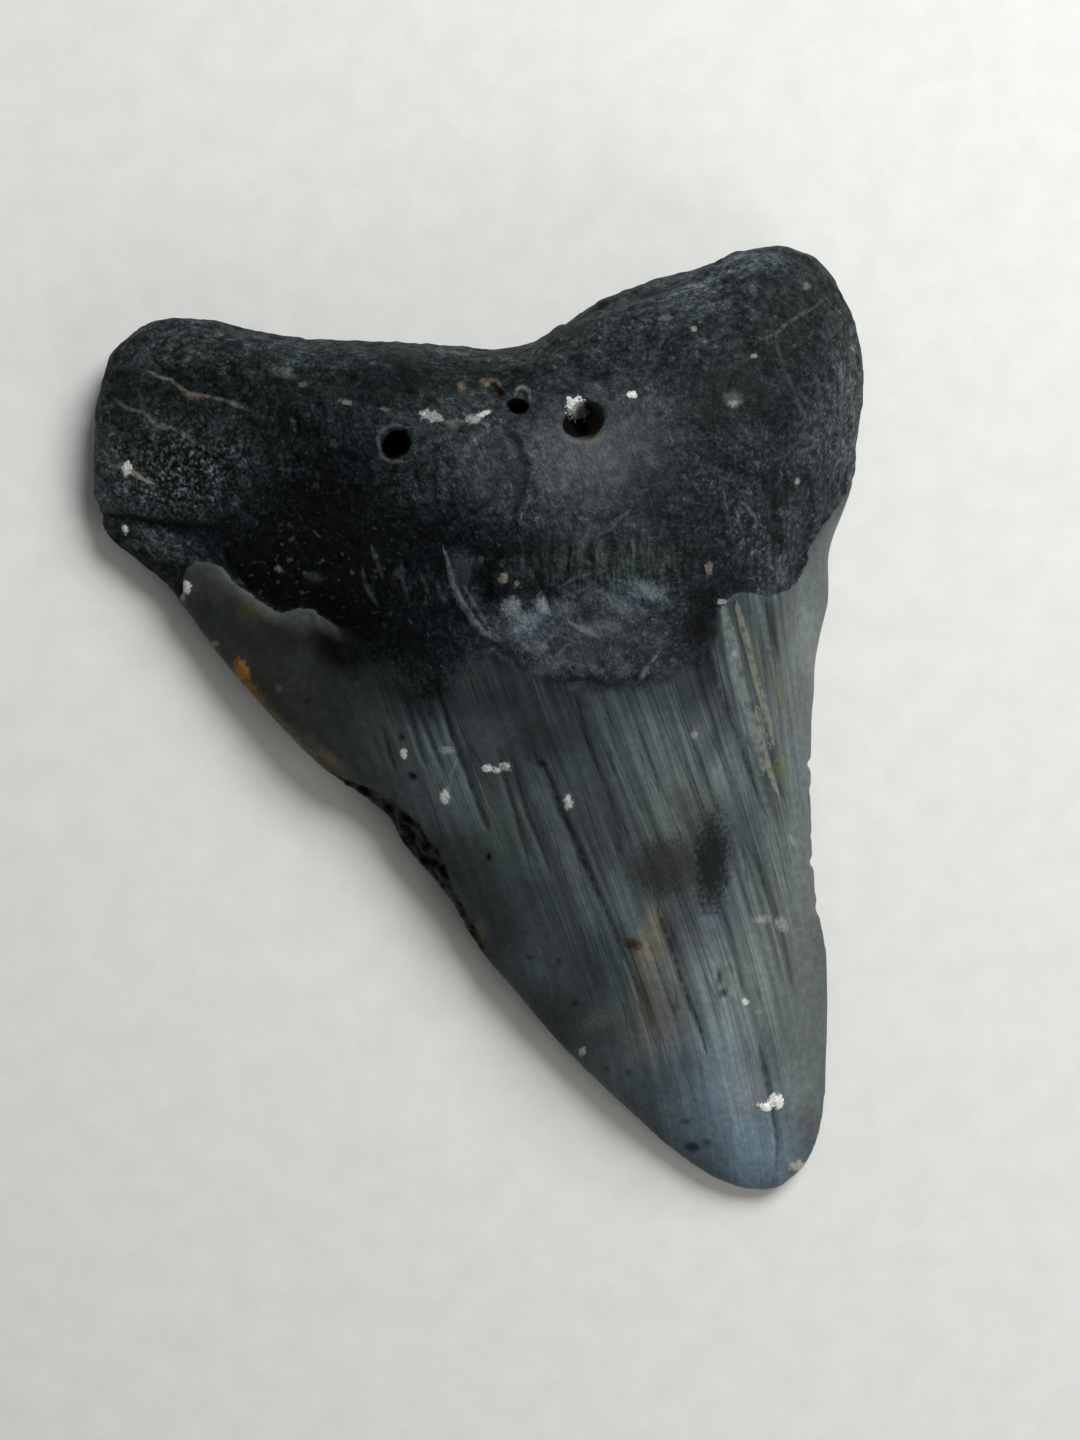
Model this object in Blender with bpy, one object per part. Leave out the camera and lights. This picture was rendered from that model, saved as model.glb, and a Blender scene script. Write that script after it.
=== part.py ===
"""A fossil megalodon tooth, lying on its flat labial face with its swollen lingual face up.

Root, bourlette and crown grew as one piece, so the tooth is one solid. Metres, +Z up. The origin
is on the surface that the tooth lies on, under the middle of its outline. +Y points from the tip
to the root, and +X to the right as the lingual face is seen from above.
"""

import math

import bmesh
import bpy
import numpy as np
from mathutils import Matrix, Vector, noise

# Every length below is in millimetres.
MM = 0.001
GRAIN = 0.5
WANTED_TRIANGLES = 9500
BALL_CUTS = 127
STEPS_PER_POINT = 6
EQUATOR_MARGIN = 1e-5
SMALLEST_SQUARE = 1e-9

# The rim, where the upper and the lower face meet, clockwise from above:
# x, y, height over the surface, width of its worn rounding
LEFT_LOBE_RIM = (
    (-38.8, 25.3, 2.9, 4.0),
    (-38.4, 30.8, 3.1, 4.5),
    (-37.4, 35.6, 3.4, 4.8),
    (-35.3, 38.2, 3.8, 5.0),
    (-32.8, 39.6, 4.2, 5.0),
    (-27.8, 40.0, 4.6, 5.0),
    (-22.8, 38.7, 5.2, 4.5),
)
NOTCH_RIM = (
    (-15.3, 37.5, 5.8, 4.5),
    (-7.8, 37.3, 5.6, 4.5),
    (-0.3, 36.7, 5.6, 4.5),
    (3.2, 36.6, 5.6, 4.5),
    (6.7, 37.8, 5.4, 4.8),
)
RIGHT_LOBE_RIM = (
    (12.2, 41.4, 5.0, 5.5),
    (17.2, 43.4, 4.6, 5.8),
    (22.2, 44.7, 4.4, 5.8),
    (26.2, 46.3, 4.6, 5.8),
    (30.4, 46.9, 4.8, 5.8),
    (33.7, 45.8, 4.8, 5.8),
    (35.8, 43.1, 4.8, 5.4),
    (37.4, 39.5, 4.8, 5.2),
    (38.5, 35.3, 5.0, 5.0),
    (38.5, 30.8, 4.6, 5.0),
    (37.7, 26.3, 4.2, 4.5),
    (36.7, 21.3, 3.6, 3.5),
)
RIGHT_BLADE_RIM = (
    (35.1, 16.8, 3.2, 2.2),
    (35.1, 11.8, 3.0, 1.6),
    (34.0, 6.8, 3.0, 1.4),
    (33.7, 1.8, 3.0, 1.4),
    (33.5, -4.7, 3.0, 1.4),
    (33.6, -11.3, 3.0, 1.4),
    (34.2, -18.9, 2.9, 1.5),
    (35.0, -22.4, 2.8, 1.6),
    (35.3, -27.0, 2.6, 1.6),
    (35.2, -34.5, 2.2, 1.6),
    (34.7, -40.8, 1.9, 1.8),
    (33.4, -44.8, 1.8, 2.0),
)
TIP_RIM = (
    (30.9, -47.5, 1.8, 1.9),
    (28.6, -48.0, 1.8, 1.9),
    (24.8, -47.0, 1.8, 1.7),
)
LEFT_BLADE_RIM = (
    (20.2, -44.2, 2.0, 1.5),
    (14.3, -38.8, 2.5, 1.4),
    (9.0, -33.8, 3.1, 1.4),
    (3.7, -27.6, 3.6, 1.4),
    (-0.7, -22.4, 3.9, 1.4),
    (-3.1, -18.1, 4.1, 1.4),
    (-7.7, -12.6, 4.3, 1.4),
    (-8.7, -10.4, 4.3, 1.4),
    (-10.9, -8.5, 4.3, 1.4),
    (-16.3, -4.5, 4.2, 1.4),
    (-22.2, 1.8, 3.9, 1.4),
    (-26.5, 6.8, 3.5, 1.5),
    (-29.4, 10.9, 3.0, 1.7),
    (-31.1, 13.2, 2.7, 2.2),
    (-33.8, 15.3, 2.6, 2.8),
    (-36.7, 17.5, 2.7, 3.3),
    (-37.7, 19.8, 2.8, 3.7),
)
RIM = LEFT_LOBE_RIM + NOTCH_RIM + RIGHT_LOBE_RIM + RIGHT_BLADE_RIM + TIP_RIM + LEFT_BLADE_RIM
HEART = (8.2, 11.8)

# Spot heights of the upper face: x, y, height. The rim's rounding is taken off them.
ROOT_TOP = (
    (-35.5, 22.0, 5.9),
    (-35.0, 31.0, 7.2),
    (-27.0, 36.0, 9.8),
    (-27.0, 28.0, 10.4),
    (-25.0, 21.0, 9.6),
    (-21.0, 26.0, 12.2),
    (-30.5, 16.5, 5.5),
    (-17.0, 35.0, 13.0),
    (-17.0, 28.0, 15.6),
    (-14.0, 21.0, 14.6),
    (-17.0, 15.5, 10.4),
    (-7.0, 34.5, 14.8),
    (-7.0, 26.0, 18.8),
    (-5.0, 18.0, 17.4),
    (-8.0, 13.0, 13.8),
    (3.0, 33.5, 15.0),
    (3.0, 24.0, 20.2),
    (12.0, 38.0, 15.2),
    (12.0, 24.0, 21.0),
    (12.0, 16.0, 19.2),
    (21.0, 41.0, 14.6),
    (20.0, 32.0, 19.0),
    (21.0, 20.0, 18.8),
    (29.0, 44.0, 13.4),
    (30.0, 36.0, 16.0),
    (30.0, 27.0, 16.4),
    (35.0, 38.0, 12.0),
    (35.5, 30.0, 12.0),
    (34.0, 22.0, 10.4),
    (29.0, 20.0, 14.6),
)
CROWN_TOP = (
    (0.0, 11.0, 16.0),
    (9.0, 9.0, 17.6),
    (17.0, 8.0, 17.0),
    (24.0, 11.0, 15.2),
    (29.0, 12.0, 11.6),
    (33.0, 14.0, 7.2),
    (-28.5, 13.0, 5.4),
    (-21.0, 9.0, 7.2),
    (-14.0, 8.0, 8.4),
    (-6.0, 3.0, 10.8),
    (3.0, 1.0, 13.8),
    (13.0, 1.5, 15.2),
    (21.0, 2.0, 14.2),
    (28.0, 2.0, 9.8),
    (-16.0, 0.0, 7.0),
    (-5.0, -6.5, 8.6),
    (4.0, -8.0, 11.0),
    (14.0, -9.0, 13.4),
    (22.0, -9.0, 12.4),
    (29.0, -10.0, 7.6),
    (1.5, -19.0, 7.2),
    (8.0, -18.0, 9.6),
    (16.0, -19.0, 12.2),
    (24.0, -19.0, 11.0),
    (30.5, -19.0, 6.8),
    (10.5, -29.0, 7.4),
    (18.0, -29.0, 10.2),
    (25.0, -29.0, 10.2),
    (31.0, -29.0, 7.0),
    (20.0, -38.0, 6.4),
    (27.0, -38.0, 7.4),
    (32.0, -38.0, 5.2),
    (27.5, -44.0, 4.2),
)
EDGE_TOP = (
    (34.0, 10.0, 5.2),
    (32.6, 0.0, 4.9),
    (32.4, -10.0, 4.8),
    (33.6, -24.0, 4.5),
    (33.6, -36.0, 3.9),
    (20.0, -42.0, 3.7),
    (9.2, -31.8, 4.7),
    (0.2, -21.0, 5.4),
    (-9.2, -8.0, 5.8),
    (-21.0, 2.6, 5.5),
    (-27.8, 10.5, 4.8),
)
# Spot heights of the lower face. What is below zero is worn flat.
UNDERSIDE = (
    (-30.0, 29.0, -0.5),
    (-22.0, 24.0, 0.1),
    (-10.0, 25.0, 1.0),
    (5.0, 27.0, 1.3),
    (17.0, 32.0, 0.8),
    (29.0, 36.0, -0.5),
    (32.0, 25.0, 0.3),
    (-22.0, 12.0, 0.9),
    (-12.0, 3.0, 0.4),
    (6.0, 10.0, 0.3),
    (26.0, 10.0, 0.5),
    (4.0, -4.0, -0.3),
    (16.0, -8.0, -0.6),
    (29.0, -6.0, 0.3),
    (18.0, -24.0, -0.5),
    (30.0, -26.0, 0.3),
    (5.0, -22.0, 0.4),
    (26.0, -38.0, 0.1),
    (28.0, -45.0, 0.4),
    (34.0, 10.0, 1.5),
    (32.6, 0.0, 1.6),
    (32.4, -10.0, 1.5),
    (33.6, -24.0, 1.3),
    (33.6, -36.0, 0.8),
    (20.0, -42.0, 0.8),
    (9.2, -31.8, 1.7),
    (0.2, -21.0, 2.4),
    (-9.2, -8.0, 2.7),
    (-21.0, 2.6, 2.3),
    (-27.8, 10.5, 1.5),
)

# The edge of the enamel on the upper face, from the left rim to the right one: x, y, and how far
# the enamel stands over the root. It is negative where the bourlette stands over the enamel.
ENAMEL_EDGE = (
    (-30.6, 12.6, 0.3),
    (-28.6, 15.4, 0.5),
    (-25.9, 15.0, 0.6),
    (-22.6, 12.3, 0.6),
    (-19.9, 10.5, 0.5),
    (-17.5, 10.3, 0.6),
    (-14.8, 9.5, 0.6),
    (-12.2, 7.6, 0.4),
    (-9.6, 4.9, 0.2),
    (-4.2, 2.7, 0.1),
    (0.5, 3.4, -0.1),
    (4.3, 5.0, -0.3),
    (8.1, 3.9, -0.4),
    (12.0, 3.4, -0.4),
    (16.1, 3.6, -0.3),
    (19.4, 4.5, -0.1),
    (21.8, 6.0, 0.3),
    (23.0, 10.6, 0.5),
    (25.1, 12.1, 0.4),
    (29.1, 11.9, 0.4),
    (31.4, 13.5, 0.3),
    (32.8, 16.9, 0.3),
    (36.0, 21.0, 0.2),
)
ENAMEL_FADE = 4.0
# The same edge on the lower face, where the enamel reaches further up the root
LABIAL_EDGE = (
    (-31.5, 13.5, 0.3),
    (-22.0, 17.0, 0.3),
    (-10.0, 23.0, 0.4),
    (4.0, 29.0, 0.4),
    (16.0, 27.0, 0.4),
    (27.0, 21.0, 0.3),
    (36.5, 19.0, 0.3),
)

# Raised bands and grooves of the upper face: half width, then the path as x, y, height
BOURLETTE = (
    3.0,
    (
        (-1.0, 13.6, 0.3),
        (1.0, 9.4, 0.5),
        (5.4, 7.2, 0.5),
        (11.0, 6.6, 0.5),
        (17.0, 7.4, 0.4),
        (20.8, 9.6, 0.2),
    ),
)
BOURLETTE_LIP = (0.8, ((-1.8, 15.0, 0.1), (-0.9, 12.1, 0.4), (0.1, 10.0, 0.4), (1.3, 8.1, 0.1)))
LOBE_GROOVE = (0.7, ((-36.4, 19.7, -0.6), (-32.4, 19.0, -0.6), (-27.6, 17.9, -0.5), (-23.0, 17.4, 0)))
NUTRIENT_GROOVE = (
    0.9,
    ((-6.0, 28.0, 0), (-2.4, 28.2, -0.4), (1.2, 28.9, -0.4), (4.2, 29.4, -0.4), (9.0, 28.8, -0.3)),
)
TORUS_STEP = (1.0, ((4.9, 24.4, 0), (5.1, 21.4, -0.35), (4.7, 18.4, 0)))
LOBE_SEAM = (
    0.7,
    ((11.2, 39.4, -0.2), (16.0, 41.4, -0.5), (20.0, 42.8, -0.5), (23.9, 43.6, -0.4), (26.4, 44.2, 0)),
)
LEFT_CRACK = (0.6, ((-3.2, 1.4, 0), (-2.4, -1.0, -0.2), (-0.6, -6.0, -0.2), (2.3, -13.8, 0)))
MIDDLE_CRACK = (
    0.6,
    (
        (6.4, -3.0, 0),
        (7.2, -5.8, -0.2),
        (8.1, -8.9, -0.25),
        (10.0, -13.7, -0.25),
        (12.0, -18.5, -0.2),
        (14.4, -24.6, 0),
    ),
)
LOWER_CRACK = (
    0.6,
    (
        (16.6, -14.8, 0),
        (17.5, -18.4, -0.25),
        (18.6, -22.0, -0.25),
        (20.7, -28.2, -0.2),
        (22.4, -32.4, 0),
    ),
)
RIGHT_CRACK = (0.6, ((23.7, 7.5, -0.2), (24.0, 1.7, -0.2), (25.4, -4.0, -0.15), (27.2, -9.0, 0)))
BANDS = (
    BOURLETTE,
    BOURLETTE_LIP,
    LOBE_GROOVE,
    NUTRIENT_GROOVE,
    TORUS_STEP,
    LOBE_SEAM,
    LEFT_CRACK,
    MIDDLE_CRACK,
    LOWER_CRACK,
    RIGHT_CRACK,
)

# Dents of the upper face: x, y, radius across, radius along, depth
DENTS = (
    (0.5, 12.1, 1.1, 1.9, 0.5),
    (2.0, 31.0, 1.4, 1.1, 0.7),
    (11.8, 31.6, 1.8, 0.9, 0.35),
    (8.2, 30.6, 1.2, 0.8, 0.3),
    (-18.6, 27.4, 1.0, 1.3, 0.35),
    (23.2, -17.5, 1.4, 3.6, 0.2),
    (18.0, 18.6, 3.0, 1.6, 0.3),
    (-9.0, 18.4, 2.6, 1.8, 0.35),
)

# The stretch of the left rim where the enamel is chipped away
CHIPPED_EDGE = ((-11.3, -8.2), (-7.9, -12.7), (-3.3, -18.2), (-0.8, -22.5))
CHIP_WIDTH = 3.0
CHIP_DEPTH = 0.9

# Foramina: name, x, y, height of the mouth, radius across, radius along, depth, lean and turn
# in degrees
FORAMINA = (
    ("left", -7.3, 25.7, 18.9, 1.58, 1.32, 3.8, 12, 35),
    ("middle", 4.1, 29.3, 18.3, 1.2, 0.75, 2.8, 0, -8),
    ("right", 10.2, 28.0, 19.6, 2.0, 1.95, 3.6, -8, 45),
)
MOUTH_CLEARANCE = 2.5
PIT_TAPER = 0.55
PIT_SIDES = 18
WALL_WOBBLE = 0.16
WALL_WOBBLES = 1.7

# Lumps and pitting of the root, and the share of them that the enamel has
LUMP_SIZE = 7.0
LUMP_HEIGHT = 0.28
PITTING_SIZE = 2.2
PITTING_HEIGHT = 0.16
ENAMEL_SHARE = 0.35

# The block that the worn flats are cut with
FLAT_CUTTER_WIDTH = 120.0
FLAT_CUTTER_DEPTH = 10.0

STONE_COLOUR = (0.045, 0.052, 0.056, 1)
STONE_ROUGHNESS = 0.42


def clear_scene():
    for thing in list(bpy.data.objects):
        bpy.data.objects.remove(thing, do_unlink=True)


def smooth_loop(points):
    """The closed curve through the points, by Catmull and Rom's rule."""
    rows = np.array(points, float)
    before, after, beyond = (np.roll(rows, shift, axis=0) for shift in (1, -1, -2))
    pieces = []
    for t in np.arange(STEPS_PER_POINT) / STEPS_PER_POINT:
        pieces.append(
            rows
            + 0.5 * t * (after - before)
            + 0.5 * t**2 * (2 * before - 5 * rows + 4 * after - beyond)
            + 0.5 * t**3 * (3 * rows - before - 3 * after + beyond)
        )
    return np.stack(pieces, axis=1).reshape(-1, rows.shape[1])


def bending(squared):
    return squared * np.log(np.maximum(squared, SMALLEST_SQUARE))


def spot_surface(spots):
    """A smooth height over the whole plan that passes through every spot."""
    x, y, height = np.array(spots, float).T
    count = len(x)
    square = (x[:, None] - x) ** 2 + (y[:, None] - y) ** 2
    plane = np.stack([np.ones(count), x, y], axis=1)
    system = np.block([[bending(square), plane], [plane.T, np.zeros((3, 3))]])
    weights = np.linalg.solve(system, np.append(height, np.zeros(3)))

    def height_at(px, py):
        square_to = (px[:, None] - x) ** 2 + (py[:, None] - y) ** 2
        return bending(square_to) @ weights[:count] + weights[count] + px * weights[-2] + py * weights[-1]

    return height_at


def nearest(path, x, y, closed=False):
    """For each point: its distance from the path, which side it is on, and the path's row there."""
    rows = np.array(path, float)
    ends = np.roll(rows, -1, axis=0) if closed else rows[1:]
    starts = rows if closed else rows[:-1]
    best = np.full(len(x), np.inf)
    side = np.zeros(len(x))
    found = np.zeros((len(x), rows.shape[1]))
    for start, end in zip(starts, ends):
        run = end - start
        along = ((x - start[0]) * run[0] + (y - start[1]) * run[1]) / (run[0] ** 2 + run[1] ** 2)
        along = np.clip(along, 0, 1)
        off_x = x - start[0] - along * run[0]
        off_y = y - start[1] - along * run[1]
        away = np.hypot(off_x, off_y)
        closer = away < best
        best = np.where(closer, away, best)
        side = np.where(closer, np.sign(run[0] * off_y - run[1] * off_x), side)
        found = np.where(closer[:, None], start + along[:, None] * run, found)
    return best, side, found


def rounding(share):
    """A quarter circle, from 0 at the rim to 1 where the rounding ends."""
    return np.sqrt(1 - (1 - np.clip(share, 0, 1)) ** 2)


def hump(share):
    """1 in the middle, 0 at one radius away, smooth at both."""
    return (1 - np.clip(share, 0, 1) ** 2) ** 2


def step_up(share):
    share = np.clip(share, 0, 1)
    return share * share * (3 - 2 * share)


def read_points(mesh):
    points = np.empty(len(mesh.vertices) * 3)
    mesh.vertices.foreach_get("co", points)
    return points.reshape(-1, 3)


def write_points(mesh, points):
    mesh.vertices.foreach_set("co", points.ravel())
    mesh.update()


def read_normals(mesh):
    normals = np.empty(len(mesh.vertices) * 3, np.float32)
    mesh.vertices.foreach_get("normal", normals)
    return normals.reshape(-1, 3).astype(float)


def ball_mesh():
    ball = bmesh.new()
    bmesh.ops.create_cube(ball, size=2)
    bmesh.ops.subdivide_edges(ball, edges=ball.edges, cuts=BALL_CUTS, use_grid_fill=True)
    for corner in ball.verts:
        corner.co.normalize()
    mesh = bpy.data.meshes.new("tooth")
    ball.to_mesh(mesh)
    ball.free()
    return mesh


def pull_to_form(mesh):
    """Spreads the ball's equator to the rim and presses its two halves to the two faces."""
    rim = smooth_loop(RIM)
    turn = np.arctan2(rim[:, 1] - HEART[1], rim[:, 0] - HEART[0])
    reach = np.hypot(rim[:, 1] - HEART[1], rim[:, 0] - HEART[0])
    ball = read_points(mesh)
    share = np.minimum(np.hypot(ball[:, 0], ball[:, 1]), 1)
    heading = np.arctan2(ball[:, 1], ball[:, 0])
    out = share * np.interp(heading, turn[np.argsort(turn)], reach[np.argsort(turn)], period=math.tau)
    x = HEART[0] + out * np.cos(heading)
    y = HEART[1] + out * np.sin(heading)
    away, _, row = nearest(rim, x, y, closed=True)
    away[share > 1 - EQUATOR_MARGIN] = 0
    rim_height, worn = row[:, 2], row[:, 3]
    upper = spot_surface(ROOT_TOP + CROWN_TOP + EDGE_TOP)(x, y)
    lower = spot_surface(UNDERSIDE)(x, y)
    face = np.where(ball[:, 2] > 0, upper, lower)
    z = rim_height + (face - rim_height) * rounding(away / worn)
    write_points(mesh, np.stack([x, y, z], axis=1) * MM)


def evaluated_copy(body):
    graph = bpy.context.evaluated_depsgraph_get()
    return bpy.data.meshes.new_from_object(body.evaluated_get(graph))


def even_out(body):
    """Gives the body faces of one size, which the relief below can then move."""
    grain = body.modifiers.new("even faces", "REMESH")
    grain.mode = "VOXEL"
    grain.voxel_size = GRAIN * MM
    even = evaluated_copy(body)
    body.modifiers.remove(grain)
    body.data = even


def bands_and_dents(x, y):
    lift = np.zeros(len(x))
    for half_width, path in BANDS:
        away, _, row = nearest(path, x, y)
        lift += row[:, 2] * hump(away / half_width)
    for dent_x, dent_y, across, along, depth in DENTS:
        lift -= depth * hump(np.hypot((x - dent_x) / across, (y - dent_y) / along))
    return lift


def ledge(path, x, y):
    """A step along the path that thins out away from it, on whichever side stands proud."""
    away, side, row = nearest(path, x, y)
    proud_side = -np.sign(row[:, 2])
    height = np.abs(row[:, 2]) * step_up(away / GRAIN) * np.exp(-away / ENAMEL_FADE)
    return np.where(side == proud_side, height, 0)


def roughness(points, size, height):
    return np.array([noise.noise(Vector(point) / size) for point in points]) * height


def chips(points):
    away, _, _ = nearest(CHIPPED_EDGE, points[:, 0], points[:, 1])
    return -CHIP_DEPTH * hump(away / CHIP_WIDTH) * (1 + roughness(points, PITTING_SIZE, 1.0))


def add_relief(mesh):
    points = read_points(mesh) / MM
    normals = read_normals(mesh)
    x, y = points[:, 0], points[:, 1]
    facing_up = np.clip(normals[:, 2], 0, 1)
    facing_down = np.clip(-normals[:, 2], 0, 1)
    _, side, _ = nearest(ENAMEL_EDGE, x, y)
    on_root = np.where(side > 0, 1.0, ENAMEL_SHARE)
    lift = (bands_and_dents(x, y) + ledge(ENAMEL_EDGE, x, y) + chips(points)) * facing_up
    lift += ledge(LABIAL_EDGE, x, y) * facing_down
    lift += roughness(points, LUMP_SIZE, LUMP_HEIGHT) * on_root
    lift += roughness(points, PITTING_SIZE, PITTING_HEIGHT) * on_root
    write_points(mesh, (points + normals * lift[:, None]) * MM)


def thin_out(body):
    triangles = sum(len(face.vertices) - 2 for face in body.data.polygons)
    fewer = body.modifiers.new("fewer faces", "DECIMATE")
    fewer.ratio = WANTED_TRIANGLES / triangles
    fewer.use_collapse_triangulate = True


def cut_away(body, cutter, name):
    cutter.hide_render = True
    cutter.display_type = "WIRE"
    cut = body.modifiers.new(name, "BOOLEAN")
    cut.operation = "DIFFERENCE"
    cut.solver = "EXACT"
    cut.object = cutter


def object_from(shape, name):
    mesh = bpy.data.meshes.new(name)
    shape.to_mesh(mesh)
    shape.free()
    made = bpy.data.objects.new(name, mesh)
    bpy.context.scene.collection.objects.link(made)
    return made


def foramen_cutter(name, x, y, mouth, across, along, depth, lean, turn):
    """A tapered pit with an uneven wall, from under the face to above its mouth."""
    pit = bmesh.new()
    length = depth + MOUTH_CLEARANCE
    above = 1 + (1 - PIT_TAPER) * MOUTH_CLEARANCE / depth
    bmesh.ops.create_cone(
        pit, cap_ends=True, segments=PIT_SIDES, radius1=PIT_TAPER, radius2=above, depth=length * MM
    )
    for corner in pit.verts:
        on_wall = Vector((corner.co.x * WALL_WOBBLES, corner.co.y * WALL_WOBBLES, mouth))
        wobble = 1 + WALL_WOBBLE * noise.noise(on_wall)
        corner.co.x *= across * wobble * MM
        corner.co.y *= along * wobble * MM
        corner.co.z += (MOUTH_CLEARANCE - depth) / 2 * MM
    turned = Matrix.Rotation(math.radians(turn), 4, "Z")
    leant = Matrix.Rotation(math.radians(lean), 4, "Y")
    place = Matrix.Translation(Vector((x, y, mouth)) * MM) @ leant @ turned
    bmesh.ops.transform(pit, matrix=place, verts=pit.verts)
    return object_from(pit, f"{name} foramen cutter")


def floor_cutter():
    """Takes off whatever reaches below the surface, which leaves the worn flats that it rests on."""
    slab = bmesh.new()
    bmesh.ops.create_cube(slab, size=1)
    size = Vector((FLAT_CUTTER_WIDTH, FLAT_CUTTER_WIDTH, FLAT_CUTTER_DEPTH))
    bmesh.ops.scale(slab, vec=size * MM, verts=slab.verts)
    bmesh.ops.translate(slab, vec=Vector((0, 0, -FLAT_CUTTER_DEPTH / 2)) * MM, verts=slab.verts)
    return object_from(slab, "flat cutter")


def tooth_material():
    stone = bpy.data.materials.new("black fossil tooth")
    stone.use_nodes = True
    shader = stone.node_tree.nodes["Principled BSDF"]
    shader.inputs["Base Color"].default_value = STONE_COLOUR
    shader.inputs["Roughness"].default_value = STONE_ROUGHNESS
    shader.inputs["Metallic"].default_value = 0
    return stone


def make_tooth():
    mesh = ball_mesh()
    pull_to_form(mesh)
    tooth = bpy.data.objects.new("tooth", mesh)
    bpy.context.scene.collection.objects.link(tooth)
    even_out(tooth)
    add_relief(tooth.data)
    thin_out(tooth)
    for name, *sizes in FORAMINA:
        cut_away(tooth, foramen_cutter(name, *sizes), f"{name} foramen")
    cut_away(tooth, floor_cutter(), "worn flats")
    tooth.data.materials.append(tooth_material())
    tooth.data.shade_smooth()
    return tooth


clear_scene()
make_tooth()
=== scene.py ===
import itertools
import math

import bmesh
import bpy
import numpy as np
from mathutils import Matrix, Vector


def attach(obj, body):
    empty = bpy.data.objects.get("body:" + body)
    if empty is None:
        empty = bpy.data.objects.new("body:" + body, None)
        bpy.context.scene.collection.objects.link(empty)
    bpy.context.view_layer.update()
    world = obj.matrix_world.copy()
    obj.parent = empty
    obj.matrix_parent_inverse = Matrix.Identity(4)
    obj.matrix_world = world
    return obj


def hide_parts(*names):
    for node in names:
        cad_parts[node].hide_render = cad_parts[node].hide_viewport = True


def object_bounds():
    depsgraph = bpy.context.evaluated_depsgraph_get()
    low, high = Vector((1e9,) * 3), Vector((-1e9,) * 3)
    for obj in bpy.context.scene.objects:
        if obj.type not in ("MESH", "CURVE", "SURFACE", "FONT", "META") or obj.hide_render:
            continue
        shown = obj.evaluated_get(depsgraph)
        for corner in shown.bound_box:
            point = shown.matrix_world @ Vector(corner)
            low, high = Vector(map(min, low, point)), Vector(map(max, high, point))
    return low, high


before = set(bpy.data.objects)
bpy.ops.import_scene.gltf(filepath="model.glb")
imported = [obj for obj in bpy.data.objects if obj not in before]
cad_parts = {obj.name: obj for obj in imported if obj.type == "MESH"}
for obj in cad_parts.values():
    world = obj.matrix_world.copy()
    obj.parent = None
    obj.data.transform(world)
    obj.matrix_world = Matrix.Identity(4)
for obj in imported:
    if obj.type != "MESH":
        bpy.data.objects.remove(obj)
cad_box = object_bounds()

# Lengths are in millimetres unless a comment or a name says otherwise. What is drawn on the upper
# face is placed by pixels of the 1080 x 1440 photo, through the camera that looks straight down.
# One of them is PIXEL long at the height that the camera is focused on. The lean of an oval is in
# degrees, and is left out where the oval stands straight.
MM = 0.001
CAMERA = (6.2, -0.2, 250.0)
FOCUS_HEIGHT = 4.0
PIXEL = 0.1
PHOTO = (1080, 1440)
SENSOR = 36.0
PAPER_REACH = 900

# The skin that is sculpted and painted: the spacing of its points, the passes that soften the
# solid's facets, and the share of the faces that is kept where they look down more than the tilt
SKIN_GRAIN = 0.33
SMOOTHING_PASSES = 16
UNDERSIDE_SHARE = 0.3
UNDERSIDE_TILT = -0.35

# Lumps of the root: height, size and seed. Its pores: depth, size, the lumps' values between which
# they open, and seed
ROOT_LUMPS = ((0.13, 1.6, 21), (0.1, 0.8, 22))
ROOT_PORES = ((0.2, 0.95, 0.45, 0.9, 23), (0.26, 1.7, 0.62, 0.95, 24))
# How far in from the enamel's edge its step fades
LEDGE_FADE = 2.5

# How far a line's field reaches, and how far its slopes go beyond its half width: in pixels on the
# upper face, and in millimetres on the lower one
LINE_REACH = 6
LINE_SLOPE = 3.5
LABIAL_REACH = 1.8
LABIAL_SLOPE = 0.35
# How far zones, broad tones and lighter stretches fade, in times their ovals
ZONE_SPREAD = 1.3
TONE_SPREAD = 1.35
LIGHT_SPREAD = 1.5
# A distance that keeps holes and chips of the upper face off the lower one
FAR_OUTSIDE = -9

# Bare colours, as linear red, green and blue
ROOT_BLACK = (0.0110, 0.0140, 0.0165)
# Deepest black of the root, which also paints shade where the root faces away from the window, under
# the enamel's lip and beside its steps
ROOT_DEEP_AND_SHADE = (0.0020, 0.0030, 0.0040)
ROOT_SLATE = (0.0210, 0.0270, 0.0275)
ROOT_GREEN = (0.0230, 0.0320, 0.0290)
# Pale slate of worn root, which also paints the sheen of the smooth torus and of the bourlette's lip
WORN_SLATE_AND_SHEEN = (0.0480, 0.0560, 0.0640)
FIBRE_GREY = (0.0500, 0.0560, 0.0570)
# A painted bluish sheen of the glossy bourlette
BOURLETTE_SHEEN_BLUE = (0.0600, 0.0740, 0.0920)
ENAMEL_GREY = (0.0800, 0.0980, 0.1020)
ENAMEL_DARK = (0.0260, 0.0330, 0.0330)
WING_GREEN = (0.0230, 0.0265, 0.0220)
# Pale grey of flecks and of the enamel's lip, where it also paints a highlight along the ledge
LIP_GREY_AND_HIGHLIGHT = (0.0720, 0.0800, 0.0740)
STREAK_PALE = (0.1700, 0.1950, 0.1850)
STREAK_CREAM = (0.2900, 0.2900, 0.2300)
OLIVE = (0.1100, 0.1150, 0.0500)
CRACK_DARK = (0.0060, 0.0080, 0.0095)
# Black of the broken edge, and painted shade inside the foramina
BLACK_AND_HOLE_SHADE = (0.0015, 0.0015, 0.0015)
BROWN_STAIN = (0.0290, 0.0300, 0.0270)
RUST = (0.0500, 0.0190, 0.0080)
TAN_STAIN = (0.1500, 0.1220, 0.0750)
PINK_STAIN = (0.1300, 0.1080, 0.1000)
PURPLE_GREY = (0.0620, 0.0640, 0.0820)
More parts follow.
